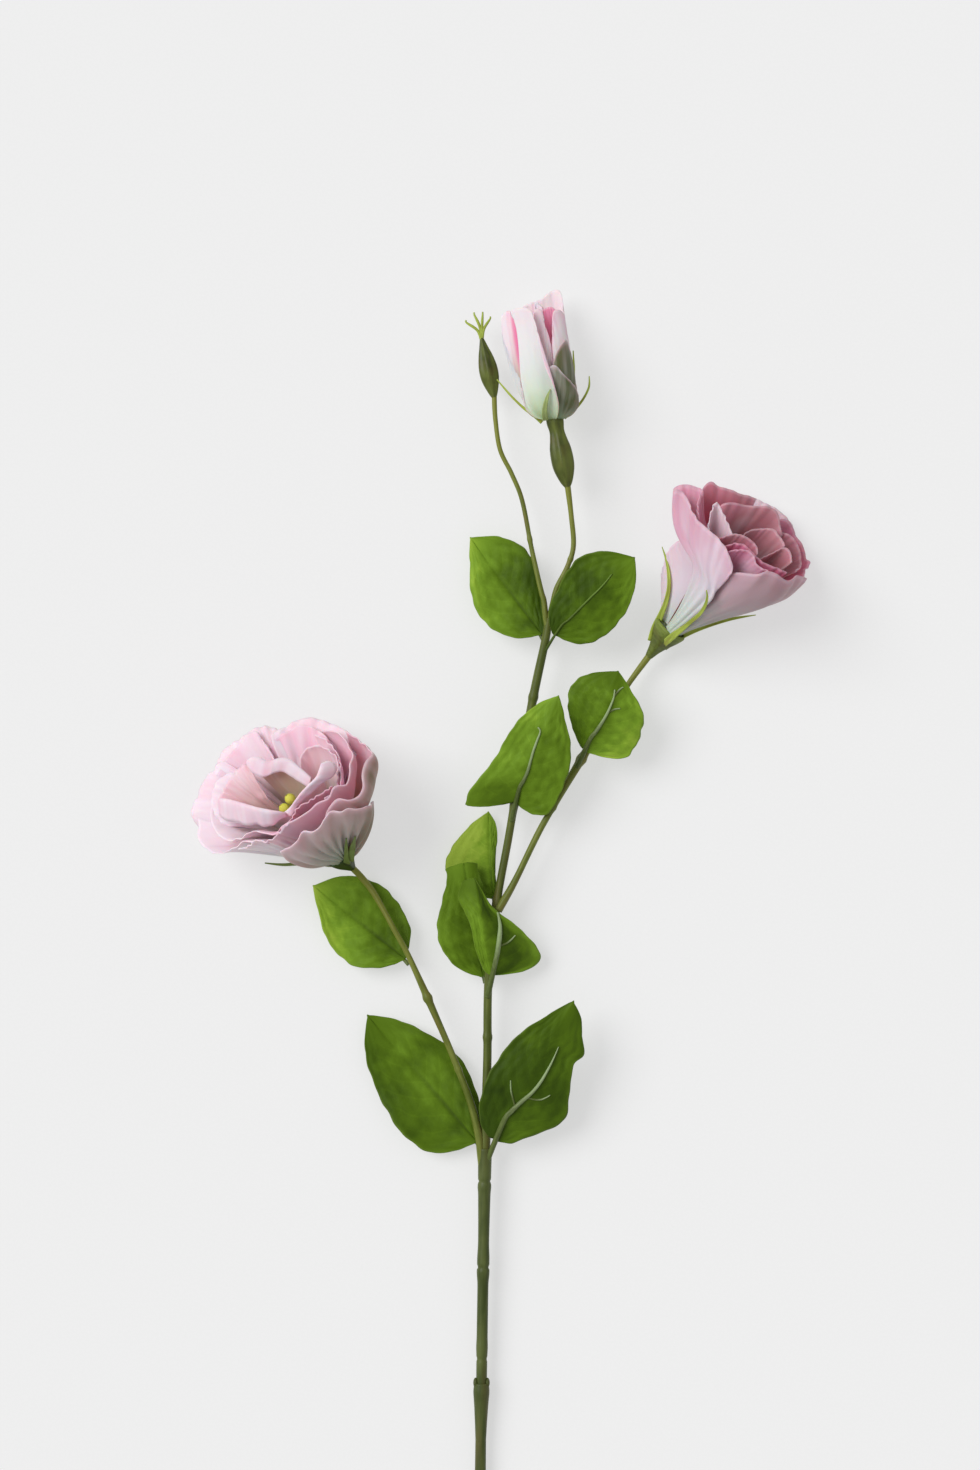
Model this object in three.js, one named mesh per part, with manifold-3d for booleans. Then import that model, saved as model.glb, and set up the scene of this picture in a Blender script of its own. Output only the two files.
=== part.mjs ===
// An artificial lisianthus spray lying on its back: cloth petals and leaves on moulded plastic stems.
// Millimetres. +Z is up from the table, +Y runs along the stem towards the flowers, +X to the right.
// Every place below is measured from the point on the table under the fork where the left branch leaves.
// The last lines move the whole spray so that the origin is under the middle of its box.

import * as THREE from "three";
import { mergeVertices } from "three/addons/utils/BufferGeometryUtils.js";
import Module from "manifold-3d";

const wasm = await Module();
wasm.setup();

// Driving dimensions
const PETAL_THICKNESS = 0.8;
const LEAF_THICKNESS = 0.8;
const SEPAL_THICKNESS = 0.9;
const GAP = 0.3; // between pieces that touch
const SLIVER = 0.05; // seams between crossing petals are simplified by this much
const RIB_RADIUS = 0.7;
const STEM_SIDES = 7;
const RING_HALF = 0.008; // half of a ring's length, as a share of its limb
const SEAT = 3; // from a calyx's foot to the root of its petals
const PETAL_ROOT = 1.4; // radius at which the petals start
const LAYER_GAP = 0.9; // between a bloom's layers of petals, at their feet
const TUBE_HEIGHT = 13; // of the short tube that a bloom's petals grow from
const STYLE_TOP = 45; // from the calyx's foot to the top of the style
const STIGMA = { radius: 2.5, apart: 4.2, height: 5.5 };

// Grids of the thin pieces: steps across and steps along
const OUTER_PETAL_STEPS = [6, 4];
const MIDDLE_PETAL_STEPS = [4, 4];
const INNER_PETAL_STEPS = [4, 4];
const LEAF_STEPS = [6, 6];
const SEPAL_STEPS = [2, 4];
const FINE_STEPS = 24; // parts into which a petal's length is split while it is laid out

const TURN = 2 * Math.PI;
const WIDEST_TURN = 1.1; // how far round its bloom half a petal may reach, in radians

// Curves through evenly spaced values
function smoothStep(x) {
  const c = Math.min(1, Math.max(0, x));
  return c * c * (3 - 2 * c);
}

function through(values, t) {
  const last = values.length - 1;
  const x = Math.min(1, Math.max(0, t)) * last;
  const i = Math.min(Math.floor(x), last - 1);
  const f = x - i;
  const p0 = values[Math.max(i - 1, 0)];
  const p1 = values[i];
  const p2 = values[i + 1];
  const p3 = values[Math.min(i + 2, last)];
  const bend = 2 * p0 - 5 * p1 + 4 * p2 - p3;
  const tail = 3 * p1 - p0 - 3 * p2 + p3;
  return 0.5 * (2 * p1 + (p2 - p0) * f + bend * f ** 2 + tail * f ** 3);
}

function pointOn(points, t) {
  const axis = (k) => through(points.map((p) => p[k]), t);
  return new THREE.Vector3(axis(0), axis(1), axis(2));
}

// Solids: a closed geometry, joined and cut
function toSolid(geometry) {
  const bare = new THREE.BufferGeometry();
  bare.setAttribute("position", geometry.getAttribute("position"));
  bare.setIndex(geometry.index);
  const merged = mergeVertices(bare, 1e-4);
  return new wasm.Manifold(
    new wasm.Mesh({
      numProp: 3,
      vertProperties: new Float32Array(merged.attributes.position.array),
      triVerts: new Uint32Array(merged.index.array),
    }),
  );
}

function toGeometry(solid) {
  const mesh = solid.getMesh();
  const positions = new Float32Array(mesh.numVert * 3);
  for (let i = 0; i < mesh.numVert; i++) {
    positions.set(mesh.vertProperties.subarray(i * mesh.numProp, i * mesh.numProp + 3), i * 3);
  }
  const geometry = new THREE.BufferGeometry();
  geometry.setAttribute("position", new THREE.BufferAttribute(positions, 3));
  geometry.setIndex(new THREE.BufferAttribute(new Uint32Array(mesh.triVerts), 1));
  geometry.computeVertexNormals();
  return geometry;
}

const join = (geometries) => geometries.map(toSolid).reduce((whole, one) => whole.add(one));

// Closed pockets between crossing petals are filled, and slivers along their seams are taken out
const withoutPockets = (solid) => solid.decompose().reduce((a, b) => (a.volume() > b.volume() ? a : b));
const tidied = (solid) => withoutPockets(solid.simplify(SLIVER));

function geometryOf(points, faces) {
  const geometry = new THREE.BufferGeometry().setFromPoints(points);
  geometry.setIndex(faces.flat());
  return geometry;
}

// A round limb along a curve, whose radius follows its own list of values.
// Each ring is a place along it, from 0 to 1, and how far the ring stands out.
function limb(points, radii, { steps = 16, sides = STEM_SIDES, rings = [] } = {}) {
  const vertices = [];
  const faces = [];
  const stations = [...Array(steps + 1).keys()].map((i) => [i / steps, 0]);
  for (const [t, swell] of rings) stations.push([t - RING_HALF, 0], [t, swell], [t + RING_HALF, 0]);
  stations.sort((a, b) => a[0] - b[0]);
  const up = new THREE.Vector3(0, 0, 1);
  for (const [t, swell] of stations) {
    const centre = pointOn(points, t);
    const ahead = pointOn(points, Math.min(1, t + 0.01));
    const tangent = ahead.sub(pointOn(points, Math.max(0, t - 0.01))).normalize();
    up.addScaledVector(tangent, -up.dot(tangent)).normalize();
    const side = new THREE.Vector3().crossVectors(up, tangent);
    for (let k = 0; k < sides; k++) {
      const angle = (TURN * (k + 0.5)) / sides;
      const out = side.clone().multiplyScalar(Math.cos(angle)).addScaledVector(up, Math.sin(angle));
      vertices.push(centre.clone().addScaledVector(out, through(radii, t) + swell));
    }
  }
  const last = (stations.length - 1) * sides;
  for (let i = 0; i < stations.length - 1; i++) {
    for (let k = 0; k < sides; k++) {
      const a = i * sides + k;
      const b = i * sides + ((k + 1) % sides);
      faces.push([a, b, b + sides], [a, b + sides, a + sides]);
    }
  }
  for (let k = 1; k < sides - 1; k++) {
    faces.push([0, k + 1, k], [last, last + k, last + k + 1]);
  }
  return geometryOf(vertices, faces);
}

// A thin closed sheet about a grid of points, with the same diagonals on both faces
function sheet(grid, thickness) {
  const across = grid.length;
  const along = grid[0].length;
  const at = (i, j) => grid[Math.min(Math.max(i, 0), across - 1)][Math.min(Math.max(j, 0), along - 1)];
  const front = [];
  const back = [];
  for (let i = 0; i < across; i++) {
    for (let j = 0; j < along; j++) {
      const u = at(i + 1, j).clone().sub(at(i - 1, j));
      const v = at(i, j + 1).clone().sub(at(i, j - 1));
      const normal = u.cross(v).normalize();
      front.push(grid[i][j].clone().addScaledVector(normal, thickness / 2));
      back.push(grid[i][j].clone().addScaledVector(normal, -thickness / 2));
    }
  }
  const behind = across * along;
  const faces = [];
  for (let i = 0; i < across - 1; i++) {
    for (let j = 0; j < along - 1; j++) {
      const a = i * along + j;
      const [b, c, d] = [a + along, a + along + 1, a + 1];
      for (const [p, q, r] of [[a, b, c], [a, c, d]]) {
        faces.push([p, q, r], [p + behind, r + behind, q + behind]);
      }
    }
  }
  const rim = [];
  for (let i = 0; i < across; i++) rim.push(i * along);
  for (let j = 1; j < along; j++) rim.push((across - 1) * along + j);
  for (let i = across - 2; i >= 0; i--) rim.push(i * along + along - 1);
  for (let j = along - 2; j > 0; j--) rim.push(j);
  rim.forEach((q, k) => {
    const r = rim[(k + 1) % rim.length];
    faces.push([r, q, q + behind], [r, q + behind, r + behind]);
  });
  return geometryOf([...front, ...back], faces);
}

// Petals and sepals, laid out round the flower's own axis, which is +Z here.
// turn: where the piece stands round the axis; 0 degrees looks up from the table.
// tilt: how far it leans out from the axis, in degrees, at even steps from its root to its tip.
// width: half of its width, in mm, at a share of its length.
function bladeRoundAxis(piece, width, [across, along]) {
  const { turn, length, tilt, root = PETAL_ROOT, seat = 0 } = piece;
  const { cup = 0, twist = 0, roll = 0, ruffle = 0, waves = 1.3, phase = 0 } = piece;
  const { corner = 0, side = 0, crease = 0, spread = 0 } = piece;
  const steps = FINE_STEPS;
  const grid = [];
  const columns = [...Array(across + 1).keys()].map((i) => (2 * i) / across - 1);
  const lean = (a, t) => {
    const late = t ** 2.2 * (0.5 + 0.5 * a * a);
    const unevenly = 0.8 + 0.3 * Math.sin(TURN * (0.9 * a + 1.9 * phase));
    const rolled = smoothStep((t - 0.74) / 0.26) * unevenly;
    return (
      through(tilt, t) -
      cup * a * a * t +
      twist * a * smoothStep(t / 0.35) +
      side * smoothStep((a - 0.2) / 0.8) * t * t +
      ruffle * late * Math.sin(TURN * (waves * a + phase)) +
      roll * rolled
    );
  };
  const column = (a) => {
    const reach = length * (1 - corner * Math.abs(a) ** 3);
    const places = [[root, seat]];
    for (let k = 0; k < steps; k++) {
      const angle = THREE.MathUtils.degToRad(0.5 * (lean(a, k / steps) + lean(a, (k + 1) / steps)));
      const [r, h] = places[k];
      places.push([r + (Math.sin(angle) * reach) / steps, h + (Math.cos(angle) * reach) / steps]);
    }
    return places;
  };
  const middle = column(0);
  for (const a of columns) {
    const places = column(a);
    const row = [];
    for (let j = 0; j <= along; j++) {
      const k = Math.round(steps * (j / along) ** 1.25);
      const t = k / steps;
      const fold = crease * Math.sin(Math.PI * Math.min(1, Math.max(0, (t - 0.15) / 0.8)));
      const r = places[k][0] + spread * smoothStep(t / 0.35) + fold * Math.sin(TURN * (2.2 * a + phase));
      const halfTurn = Math.min(WIDEST_TURN, width(t) / (middle[k][0] + spread));
      const angle = THREE.MathUtils.degToRad(turn) + a * halfTurn;
      row.push(new THREE.Vector3(r * Math.cos(angle), r * Math.sin(angle), places[k][1]));
    }
    grid.push(row);
  }
  return grid;
}

const CLAW = 2.2; // half of a petal's width at its root
const BROADEST = 0.8; // share of its length at which a petal is broadest

function petal(piece, steps) {
  const width = (t) => {
    const before = 1 - Math.max(0, (BROADEST - t) / BROADEST) ** 1.6;
    const after = 1 - 0.2 * Math.max(0, (t - BROADEST) / (1 - BROADEST)) ** 2;
    return CLAW + (piece.half - CLAW) * before * after;
  };
  return sheet(bladeRoundAxis({ corner: 0.3, twist: 6, ...piece }, width, steps), PETAL_THICKNESS);
}

function sepal(piece) {
  const width = (t) => piece.half * (1 - 0.75 * t ** 1.3);
  return sheet(bladeRoundAxis(piece, width, SEPAL_STEPS), SEPAL_THICKNESS);
}

function lathe(profile, segments) {
  const outline = profile.map(([r, h]) => new THREE.Vector2(r, h));
  return new THREE.LatheGeometry(outline, segments).rotateX(Math.PI / 2);
}

// A pod of evenly spaced radii, with raised ribs
function pod(height, radii, ribs, rise) {
  const rows = 6;
  const profile = [[0, 0]];
  for (let i = 0; i <= rows; i++) profile.push([through(radii, i / rows), (height * i) / rows]);
  profile.push([0, height]);
  const geometry = lathe(profile, 2 * ribs);
  const place = geometry.getAttribute("position");
  for (let i = 0; i < place.count; i++) {
    const [x, y] = [place.getX(i), place.getY(i)];
    const scale = 1 + rise * Math.cos(ribs * Math.atan2(y, x));
    place.setXY(i, x * scale, y * scale);
  }
  return geometry;
}

// The tube at the foot of a bloom, that all its petals grow from
function petalTube(waist, top) {
  const [middle, rim] = [SEAT + TUBE_HEIGHT / 2, SEAT + TUBE_HEIGHT];
  return lathe([[0, SEAT], [PETAL_ROOT, SEAT], [waist, middle], [top, rim], [0, rim]], 10);
}

// A calyx cup: a thin wall over a solid foot
function cup(foot, rimRadius, rimHeight) {
  const wall = 0.9;
  const waist = [0.5 * (foot + rimRadius) + 0.3, rimHeight / 2];
  return lathe(
    [
      [0, -0.6],
      [foot, -0.6],
      waist,
      [rimRadius, rimHeight],
      [rimRadius - wall, rimHeight],
      [waist[0] - wall + 0.1, waist[1] + 0.5],
      [PETAL_ROOT + 0.6, SEAT - GAP],
      [0, SEAT - GAP],
    ],
    12,
  );
}

// A leaf: left and right hold its half-widths in mm at even steps from base to tip, as seen from above,
// and rise holds the degrees by which each half climbs away from the midrib.
function leafGrid({ base, tip, left, right, rise, arch = 0, wave = 0, phase = 0 }) {
  const [across, along] = LEAF_STEPS;
  const from = new THREE.Vector3(...base);
  const way = new THREE.Vector3(...tip).sub(from);
  const ahead = new THREE.Vector3(way.x, way.y, 0).normalize();
  const aside = new THREE.Vector3(-ahead.y, ahead.x, 0);
  const grid = [];
  for (let i = 0; i <= across; i++) {
    const a = (2 * i) / across - 1;
    const widths = a > 0 ? left : right;
    const climb = THREE.MathUtils.degToRad(a > 0 ? rise[0] : rise[1]);
    const row = [];
    for (let j = 0; j <= along; j++) {
      const t = j / along;
      const ends = Math.min(1, Math.sqrt((t + 0.02) / 0.07)) * Math.min(1, (1.02 - t) / 0.08);
      const w = through(widths, t) * ends * Math.abs(a);
      const bulge = 4 * t * (1 - t);
      const point = from.clone().addScaledVector(way, t);
      point.addScaledVector(aside, Math.sign(a) * w * Math.cos(climb));
      point.addScaledVector(ahead, -w * 0.3 * (1 - t) ** 2);
      point.z += arch * bulge + w * Math.sin(climb);
      point.z += wave * Math.abs(a) ** 1.5 * ends * Math.sin(TURN * (2.1 * t + 0.35 * Math.sign(a) + phase));
      row.push(point);
    }
    grid.push(row);
  }
  return grid;
}

// The moulded rib on a leaf's back, from its root on the stem; ribs on top belong to leaves seen from behind
function leafRib(grid, root, onTop, reach) {
  const midrib = grid[LEAF_STEPS[0] / 2];
  const lift = (onTop ? 1 : -1) * (LEAF_THICKNESS / 2 + RIB_RADIUS + 1.5 * GAP);
  const kept = midrib.slice(0, 1 + Math.round(reach * LEAF_STEPS[1]));
  const points = [root, ...kept.map((p) => [p.x, p.y, p.z + lift])];
  const radii = [1, 1, 0.85, 0.6].map((share) => share * RIB_RADIUS);
  return limb(points, radii, { steps: points.length - 1, sides: 5 });
}

// Stems; every stem has a main limb and may have stubs that other stems start from
const STEMS = {
  lower_stem: {
    path: [
      [-3, -239, 2.5], [-2.5, -195.5, 4], [-2, -139, 5], [-1.5, -100, 6], [-1, -65, 7],
      [-0.5, -32.5, 8], [0, 3, 9],
    ],
    radii: [2.6, 2.6, 2.6, 2.6, 2.5, 2.5, 2.7],
    steps: 7,
    rings: [[0.47, 0.5], [0.49, 0.8], [0.545, 0.4], [0.745, 0.4], [0.915, 0.5]],
    stubs: [
      { path: [[0, -4, 9], [0.2, 4, 9.2], [0.5, 13, 9.5]], radii: [2.4, 2.3, 2] },
      { path: [[-0.3, -4, 9.2], [-1.6, 4, 9.5], [-4, 13, 10]], radii: [2.2, 2, 1.8] },
    ],
  },
  upper_stem: {
    path: [
      [0.5, 13.3, 9.5], [1, 39, 10], [1.5, 73.5, 11], [5, 106, 12], [10, 134, 12.5],
      [14, 157.5, 13], [20.5, 194, 14], [26, 220, 15], [27.5, 228, 15.3],
    ],
    radii: [2, 1.9, 1.8, 1.8, 1.7, 1.7, 1.8, 1.9, 2],
    steps: 11,
    rings: [[0.21, 0.4], [0.85, 0.4]],
    stubs: [
      { path: [[4, 100.5, 11.9], [7, 107, 12.8], [11, 113.5, 14]], radii: [1.5, 1.6, 1.5] },
      { path: [[27.2, 226.5, 15.3], [26.8, 231, 15.9], [26, 235.5, 16.3]], radii: [1.5, 1.4, 1.2] },
      { path: [[27.4, 226.5, 15.3], [28.5, 232, 15.6], [29.8, 238, 15.8]], radii: [1.6, 1.5, 1.3] },
    ],
  },
  left_branch: {
    path: [
      [-4.1, 13.4, 10], [-7.5, 24, 10.5], [-14, 41, 11], [-21.5, 58.5, 11.5], [-32.3, 82.5, 12],
      [-39, 95, 11.5], [-47.5, 110, 8.2], [-53, 117.2, 6.6], [-56.4, 120.9, 8.1],
    ],
    radii: [1.8, 1.8, 1.7, 1.6, 1.6, 1.3, 1.3, 1.3, 1.2],
    steps: 11,
    rings: [[0.49, 0.6]],
  },
  right_branch: {
    path: [
      [11.3, 114.1, 14], [17, 125.5, 14], [23.5, 138, 14], [32.5, 153.5, 14], [42, 169.5, 13],
      [51.5, 184.5, 10.5], [61.5, 200.5, 7.8], [70.1, 212.2, 8.3],
    ],
    radii: [1.5, 1.4, 1.4, 1.4, 1.5, 1.2, 1.2, 1.2],
    steps: 9,
    rings: [[0.385, 0.4], [0.57, 0.6]],
  },
  bud_stem: {
    path: [
      [25.9, 235.9, 16.3], [24, 242.5, 16], [20, 259.5, 15], [16, 280, 14], [11.5, 291.5, 13.5],
      [6.5, 302, 13], [4.5, 315, 12.5], [4.1, 324, 12],
    ],
    radii: [1.2, 1.1, 1, 1, 1, 1, 1, 1],
    steps: 10,
    sides: 6,
  },
  top_stem: {
    path: [
      [30, 238.5, 15.8], [32.4, 245.5, 16.4], [35.5, 252, 17], [38, 260.5, 17.5], [37, 273.5, 18],
      [35.6, 285, 18],
    ],
    radii: [1.3, 1.2, 1.1, 1.1, 1.1, 1.2],
    steps: 9,
    sides: 6,
  },
};

// Leaves; front leaves show their upper face and lie under the stems, back leaves show their ribs
const LEAVES = {
  leaf_a: {
    root: [-2.2, 0.8, 5.7], base: [-3.5, 3.5, 6.2], tip: [-51, 58, 4.5],
    left: [3, 22, 23, 21, 18, 12.5, 0], right: [3, 10.5, 14, 17.5, 15, 8, 0],
    rise: [6, 2], arch: -1, wave: 1, phase: 0.1,
  },
  leaf_b: {
    root: [3.2, 0.8, 11.2], base: [4.6, 5, 12.6], tip: [38, 65.5, 24], onTop: true,
    left: [2, 11, 15, 16.5, 13.5, 7.5, 0], right: [3, 15, 21, 19, 15, 10, 0],
    rise: [-2, -14], arch: 4, wave: 1, phase: 0.3,
  },
  leaf_c: {
    root: [-33, 80, 9], base: [-34.5, 82.5, 8.8], tip: [-74.5, 114, 5],
    left: [2, 10, 16, 16.5, 13.5, 7, 0], right: [2, 11.5, 16, 18.3, 17, 12, 0],
    rise: [6, -4], arch: -1, wave: 0.6, phase: 0.4,
  },
  leaf_d: {
    root: [0, 72, 8.1], base: [-0.7, 74.5, 8], tip: [-9, 124, 11],
    left: [2, 12, 16, 16.8, 15.5, 10.5, 3], right: [2, 5, 6, 7, 7, 6, 2],
    rise: [4, 0], wave: 0.5, phase: 0.2,
  },
  leaf_e: {
    root: [4.4, 103, 9], base: [3.6, 108.3, 5.8], tip: [1.5, 146, 4],
    left: [2, 14, 19, 19.5, 15.5, 9, 0], right: [1, 1.5, 1.5, 2, 3, 3, 0],
    rise: [0, 4], wave: 0.4, phase: 0.7,
  },
  leaf_f: {
    root: [1.8, 73, 13.9], base: [2.6, 76, 14.2], tip: [4.5, 118, 20], onTop: true,
    left: [2, 6, 9, 10, 14, 15, 4], right: [3, 20, 22, 16, 9, 4, 1],
    rise: [-22, -24], arch: 3, wave: 0.5, phase: 0.7,
  },
  leaf_g: {
    root: [12.2, 147.5, 15.6], base: [13.2, 150.5, 15.8], tip: [31.5, 196, 26], onTop: true,
    left: [4, 18, 17, 16, 14, 9, 0], right: [4, 16, 19, 17, 13, 7, 0],
    rise: [-8, -5], arch: 4, wave: 0.8, phase: 0.5,
  },
  leaf_h: {
    root: [42, 169, 16.2], base: [43.5, 172, 16.1], tip: [57, 206.5, 24], onTop: true,
    left: [2, 7, 12, 15.5, 16.5, 12, 0], right: [3, 16, 19.3, 19.2, 17, 9, 0],
    rise: [-8, -12], arch: 3, wave: 0.6, phase: 0.1,
  },
  leaf_i: {
    root: [25.2, 219.5, 12], base: [24.5, 222.5, 12.2], tip: [-6.5, 264.5, 7],
    left: [2, 12, 16.5, 17.3, 14, 7, 0], right: [2, 5, 9.5, 15, 15.5, 11, 0],
    rise: [4, 4], arch: -1, wave: 0.7, phase: 0.6,
  },
  leaf_j: {
    root: [27, 219.5, 17.9], base: [29.2, 222.5, 18.2], tip: [64, 255, 26], onTop: true,
    left: [2, 9, 12.5, 15.5, 16, 11, 0], right: [2, 11.5, 15.7, 16, 14, 9, 0],
    rise: [-4, -12], arch: 3, wave: 0.7, phase: 0.9,
  },
};

// Blooms: where the calyx's foot is, which way the axis points, seen from above and over the table
const LEFT_BLOOM = {
  foot: [-57.5, 122, 9], bearing: 134, climb: 36,
  outer: [
    { turn: 6, length: 60, half: 36, tilt: [10, 28, 34, 33, 34],
      cup: 4, roll: 14, ruffle: 8, phase: 0.1, crease: 0.6, side: 12 },
    { turn: 76, length: 63, half: 36, tilt: [10, 32, 42, 43, 44],
      cup: 2, roll: 16, ruffle: 8, waves: 1.2, phase: 0.6, crease: 0.6 },
    { turn: 148, length: 69, half: 38, tilt: [10, 32, 46, 51, 55],
      cup: 2, roll: 34, ruffle: 8, phase: 0.3, crease: 0.3 },
    { turn: 220, length: 71, half: 40, tilt: [10, 30, 44, 50, 54],
      cup: 2, roll: 36, ruffle: 8, phase: 0.8, crease: 0.3 },
    { turn: 292, length: 66, half: 36, tilt: [10, 26, 36, 38, 42],
      cup: 4, roll: 24, ruffle: 8, waves: 1.2, phase: 0.45, crease: 0.6 },
  ],
  middle: [
    { turn: 40, length: 59, half: 29, tilt: [9, 23, 30, 30, 30],
      cup: 6, roll: 16, ruffle: 9, waves: 1.4, phase: 0.2 },
    { turn: 110, length: 62, half: 31, tilt: [9, 26, 37, 39, 40],
      cup: 4, roll: 20, ruffle: 9, waves: 1.2, phase: 0.7 },
    { turn: 184, length: 67, half: 32, tilt: [9, 26, 40, 46, 50],
      cup: 4, roll: 34, ruffle: 9, phase: 0.5 },
    { turn: 256, length: 66, half: 32, tilt: [9, 24, 34, 36, 40],
      cup: 4, roll: 30, ruffle: 9, phase: 0.9 },
    { turn: 330, length: 59, half: 29, tilt: [9, 21, 26, 25, 26],
      cup: 6, roll: 18, ruffle: 9, phase: 0.35 },
  ],
  inner: [
    { turn: 5, length: 55, half: 20, tilt: [8, 16, 15, 12, 12],
      cup: 8, roll: 16, ruffle: 9, waves: 1.2, phase: 0.15 },
    { turn: 66, length: 56, half: 18, tilt: [8, 18, 25, 25, 25],
      cup: 12, roll: 10, ruffle: 7, waves: 1, phase: 0.55 },
    { turn: 118, length: 58, half: 22, tilt: [8, 19, 27, 26, 24],
      cup: 10, roll: -8, ruffle: 7, waves: 1, phase: 0.05 },
    { turn: 186, length: 60, half: 25, tilt: [8, 21, 36, 40, 38],
      cup: 10, roll: -14, ruffle: 9, waves: 1.2, phase: 0.75 },
    { turn: 252, length: 61, half: 25, tilt: [8, 21, 35, 40, 42],
      cup: 8, roll: 30, ruffle: 9, waves: 1.2, phase: 0.25 },
    { turn: 312, length: 57, half: 22, tilt: [8, 19, 26, 27, 28],
      cup: 10, roll: 24, ruffle: 9, waves: 1.1, phase: 0.95 },
  ],
  tube: [2.8, 5],
  calyx: { foot: 1.5, rimRadius: 5.4, rimHeight: 8.5 },
  sepals: [
    { turn: 60, length: 17, half: 2, tilt: [40, 46, 40, 36] },
    { turn: 300, length: 34, half: 2, tilt: [44, 56, 60, 62] },
    { turn: 180, length: 17, half: 2, tilt: [44, 56, 58, 50] },
  ],
};

const RIGHT_BLOOM = {
  foot: [71, 213.5, 9], bearing: 52.5, climb: 22,
  outer: [
    { turn: 34, length: 71, half: 31, tilt: [0, 17, 32, 29, 28],
      cup: 2, roll: 16, ruffle: 6, waves: 1.2, phase: 0.2, crease: 0.6 },
    { turn: 104, length: 72, half: 32, tilt: [0, 17, 34, 33, 33],
      cup: 2, roll: 20, ruffle: 7, waves: 1.2, phase: 0.7, crease: 0.5 },
    { turn: 176, length: 75, half: 33, tilt: [0, 17, 36, 37, 40],
      cup: 2, roll: 26, ruffle: 7, phase: 0.4, crease: 0.3 },
    { turn: 248, length: 75, half: 33, tilt: [0, 17, 34, 34, 34],
      cup: 2, roll: 22, ruffle: 7, phase: 0.9, crease: 0.5 },
    { turn: 320, length: 72, half: 30, tilt: [0, 17, 29, 27, 26],
      cup: 2, roll: 20, ruffle: 6, waves: 1.2, phase: 0.1, crease: 0.6 },
  ],
  middle: [
    { turn: 0, length: 60, half: 25, tilt: [0, 14, 25, 25, 24],
      cup: 4, roll: 18, ruffle: 8, waves: 1.2, phase: 0.3 },
    { turn: 68, length: 62, half: 26, tilt: [0, 14, 27, 27, 27],
      cup: 4, roll: 20, ruffle: 8, waves: 1.2, phase: 0.8 },
    { turn: 140, length: 68, half: 27, tilt: [0, 14, 30, 32, 33],
      cup: 4, roll: 26, ruffle: 8, phase: 0.5 },
    { turn: 212, length: 68, half: 27, tilt: [0, 14, 30, 32, 33],
      cup: 4, roll: 26, ruffle: 8, phase: 0 },
    { turn: 284, length: 63, half: 26, tilt: [0, 14, 27, 27, 27],
      cup: 4, roll: 22, ruffle: 8, waves: 1.2, phase: 0.6 },
  ],
  inner: [
    { turn: 34, length: 50, half: 18, tilt: [0, 11, 20, 20, 18],
      cup: 8, roll: 22, ruffle: 9, waves: 1.1, phase: 0.1 },
    { turn: 106, length: 57, half: 20, tilt: [0, 11, 22, 23, 22],
      cup: 8, roll: 24, ruffle: 9, waves: 1.1, phase: 0.6 },
    { turn: 178, length: 61, half: 21, tilt: [0, 11, 24, 26, 26],
      cup: 8, roll: 28, ruffle: 9, waves: 1.1, phase: 0.35 },
    { turn: 250, length: 58, half: 20, tilt: [0, 11, 22, 23, 22],
      cup: 8, roll: 24, ruffle: 9, waves: 1.1, phase: 0.85 },
    { turn: 322, length: 50, half: 18, tilt: [0, 11, 20, 19, 17],
      cup: 8, roll: 22, ruffle: 9, waves: 1.1, phase: 0.45 },
  ],
  tube: [2.8, 4.6],
  calyx: { foot: 1.5, rimRadius: 7.6, rimHeight: 16.5 },
  sepals: [
    { turn: 282, length: 32, half: 2.2, tilt: [40, 44, 38, 46] },
    { turn: 18, length: 22, half: 2.2, tilt: [40, 46, 44, 36] },
    { turn: 96, length: 36, half: 2.2, tilt: [42, 45, 46, 48] },
  ],
};

const TOP_BLOOM = {
  foot: [35.5, 285.5, 18], bearing: 101, climb: 2,
  flowerFoot: [30.5, 314.1, 19.15], flowerBearing: 96, flowerClimb: 3,
  petals: [
    { turn: 20, length: 47, half: 22, tilt: [58, 24, 6, -2, 4], roll: 10, phase: 0.2, crease: 0.4 },
    { turn: 110, length: 48, half: 22, tilt: [58, 26, 8, -2, 0], roll: 8, phase: 0.6, crease: 0.4 },
    { turn: 200, length: 50, half: 22, tilt: [58, 26, 8, -2, 0], roll: 8, phase: 0.1, crease: 0.4 },
    { turn: 290, length: 51, half: 22, tilt: [58, 26, 10, 3, 5],
      roll: 12, phase: 0.8, crease: 0.4 },
    { turn: 65, length: 52, half: 17, tilt: [48, 18, 2, -4, 2], roll: 8, phase: 0.4 },
    { turn: 155, length: 56, half: 17, tilt: [48, 18, 2, -5, 2], roll: 8, phase: 0.9 },
    { turn: 245, length: 53, half: 17, tilt: [48, 18, 2, -4, 2], roll: 8, phase: 0.3 },
    { turn: 335, length: 52, half: 17, tilt: [48, 18, 2, -4, 2], roll: 8, phase: 0.7 },
  ],
  sepals: [
    { turn: 350, length: 16, half: 1.8, tilt: [76, 62, 20, 6] },
    { turn: 275, length: 26, half: 1.6, tilt: [70, 68, 58, 34] },
    { turn: 95, length: 26, half: 1.6, tilt: [76, 70, 44, 8] },
    { turn: 180, length: 20, half: 1.8, tilt: [76, 64, 34, 14] },
  ],
};

const BUD = {
  foot: [4, 324.5, 12], bearing: 102, climb: 0, length: 26,
  tips: [[-6, 34.5], [-3, 37], [1, 38], [4.5, 36]], // across the bud's axis and along it
};

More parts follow.
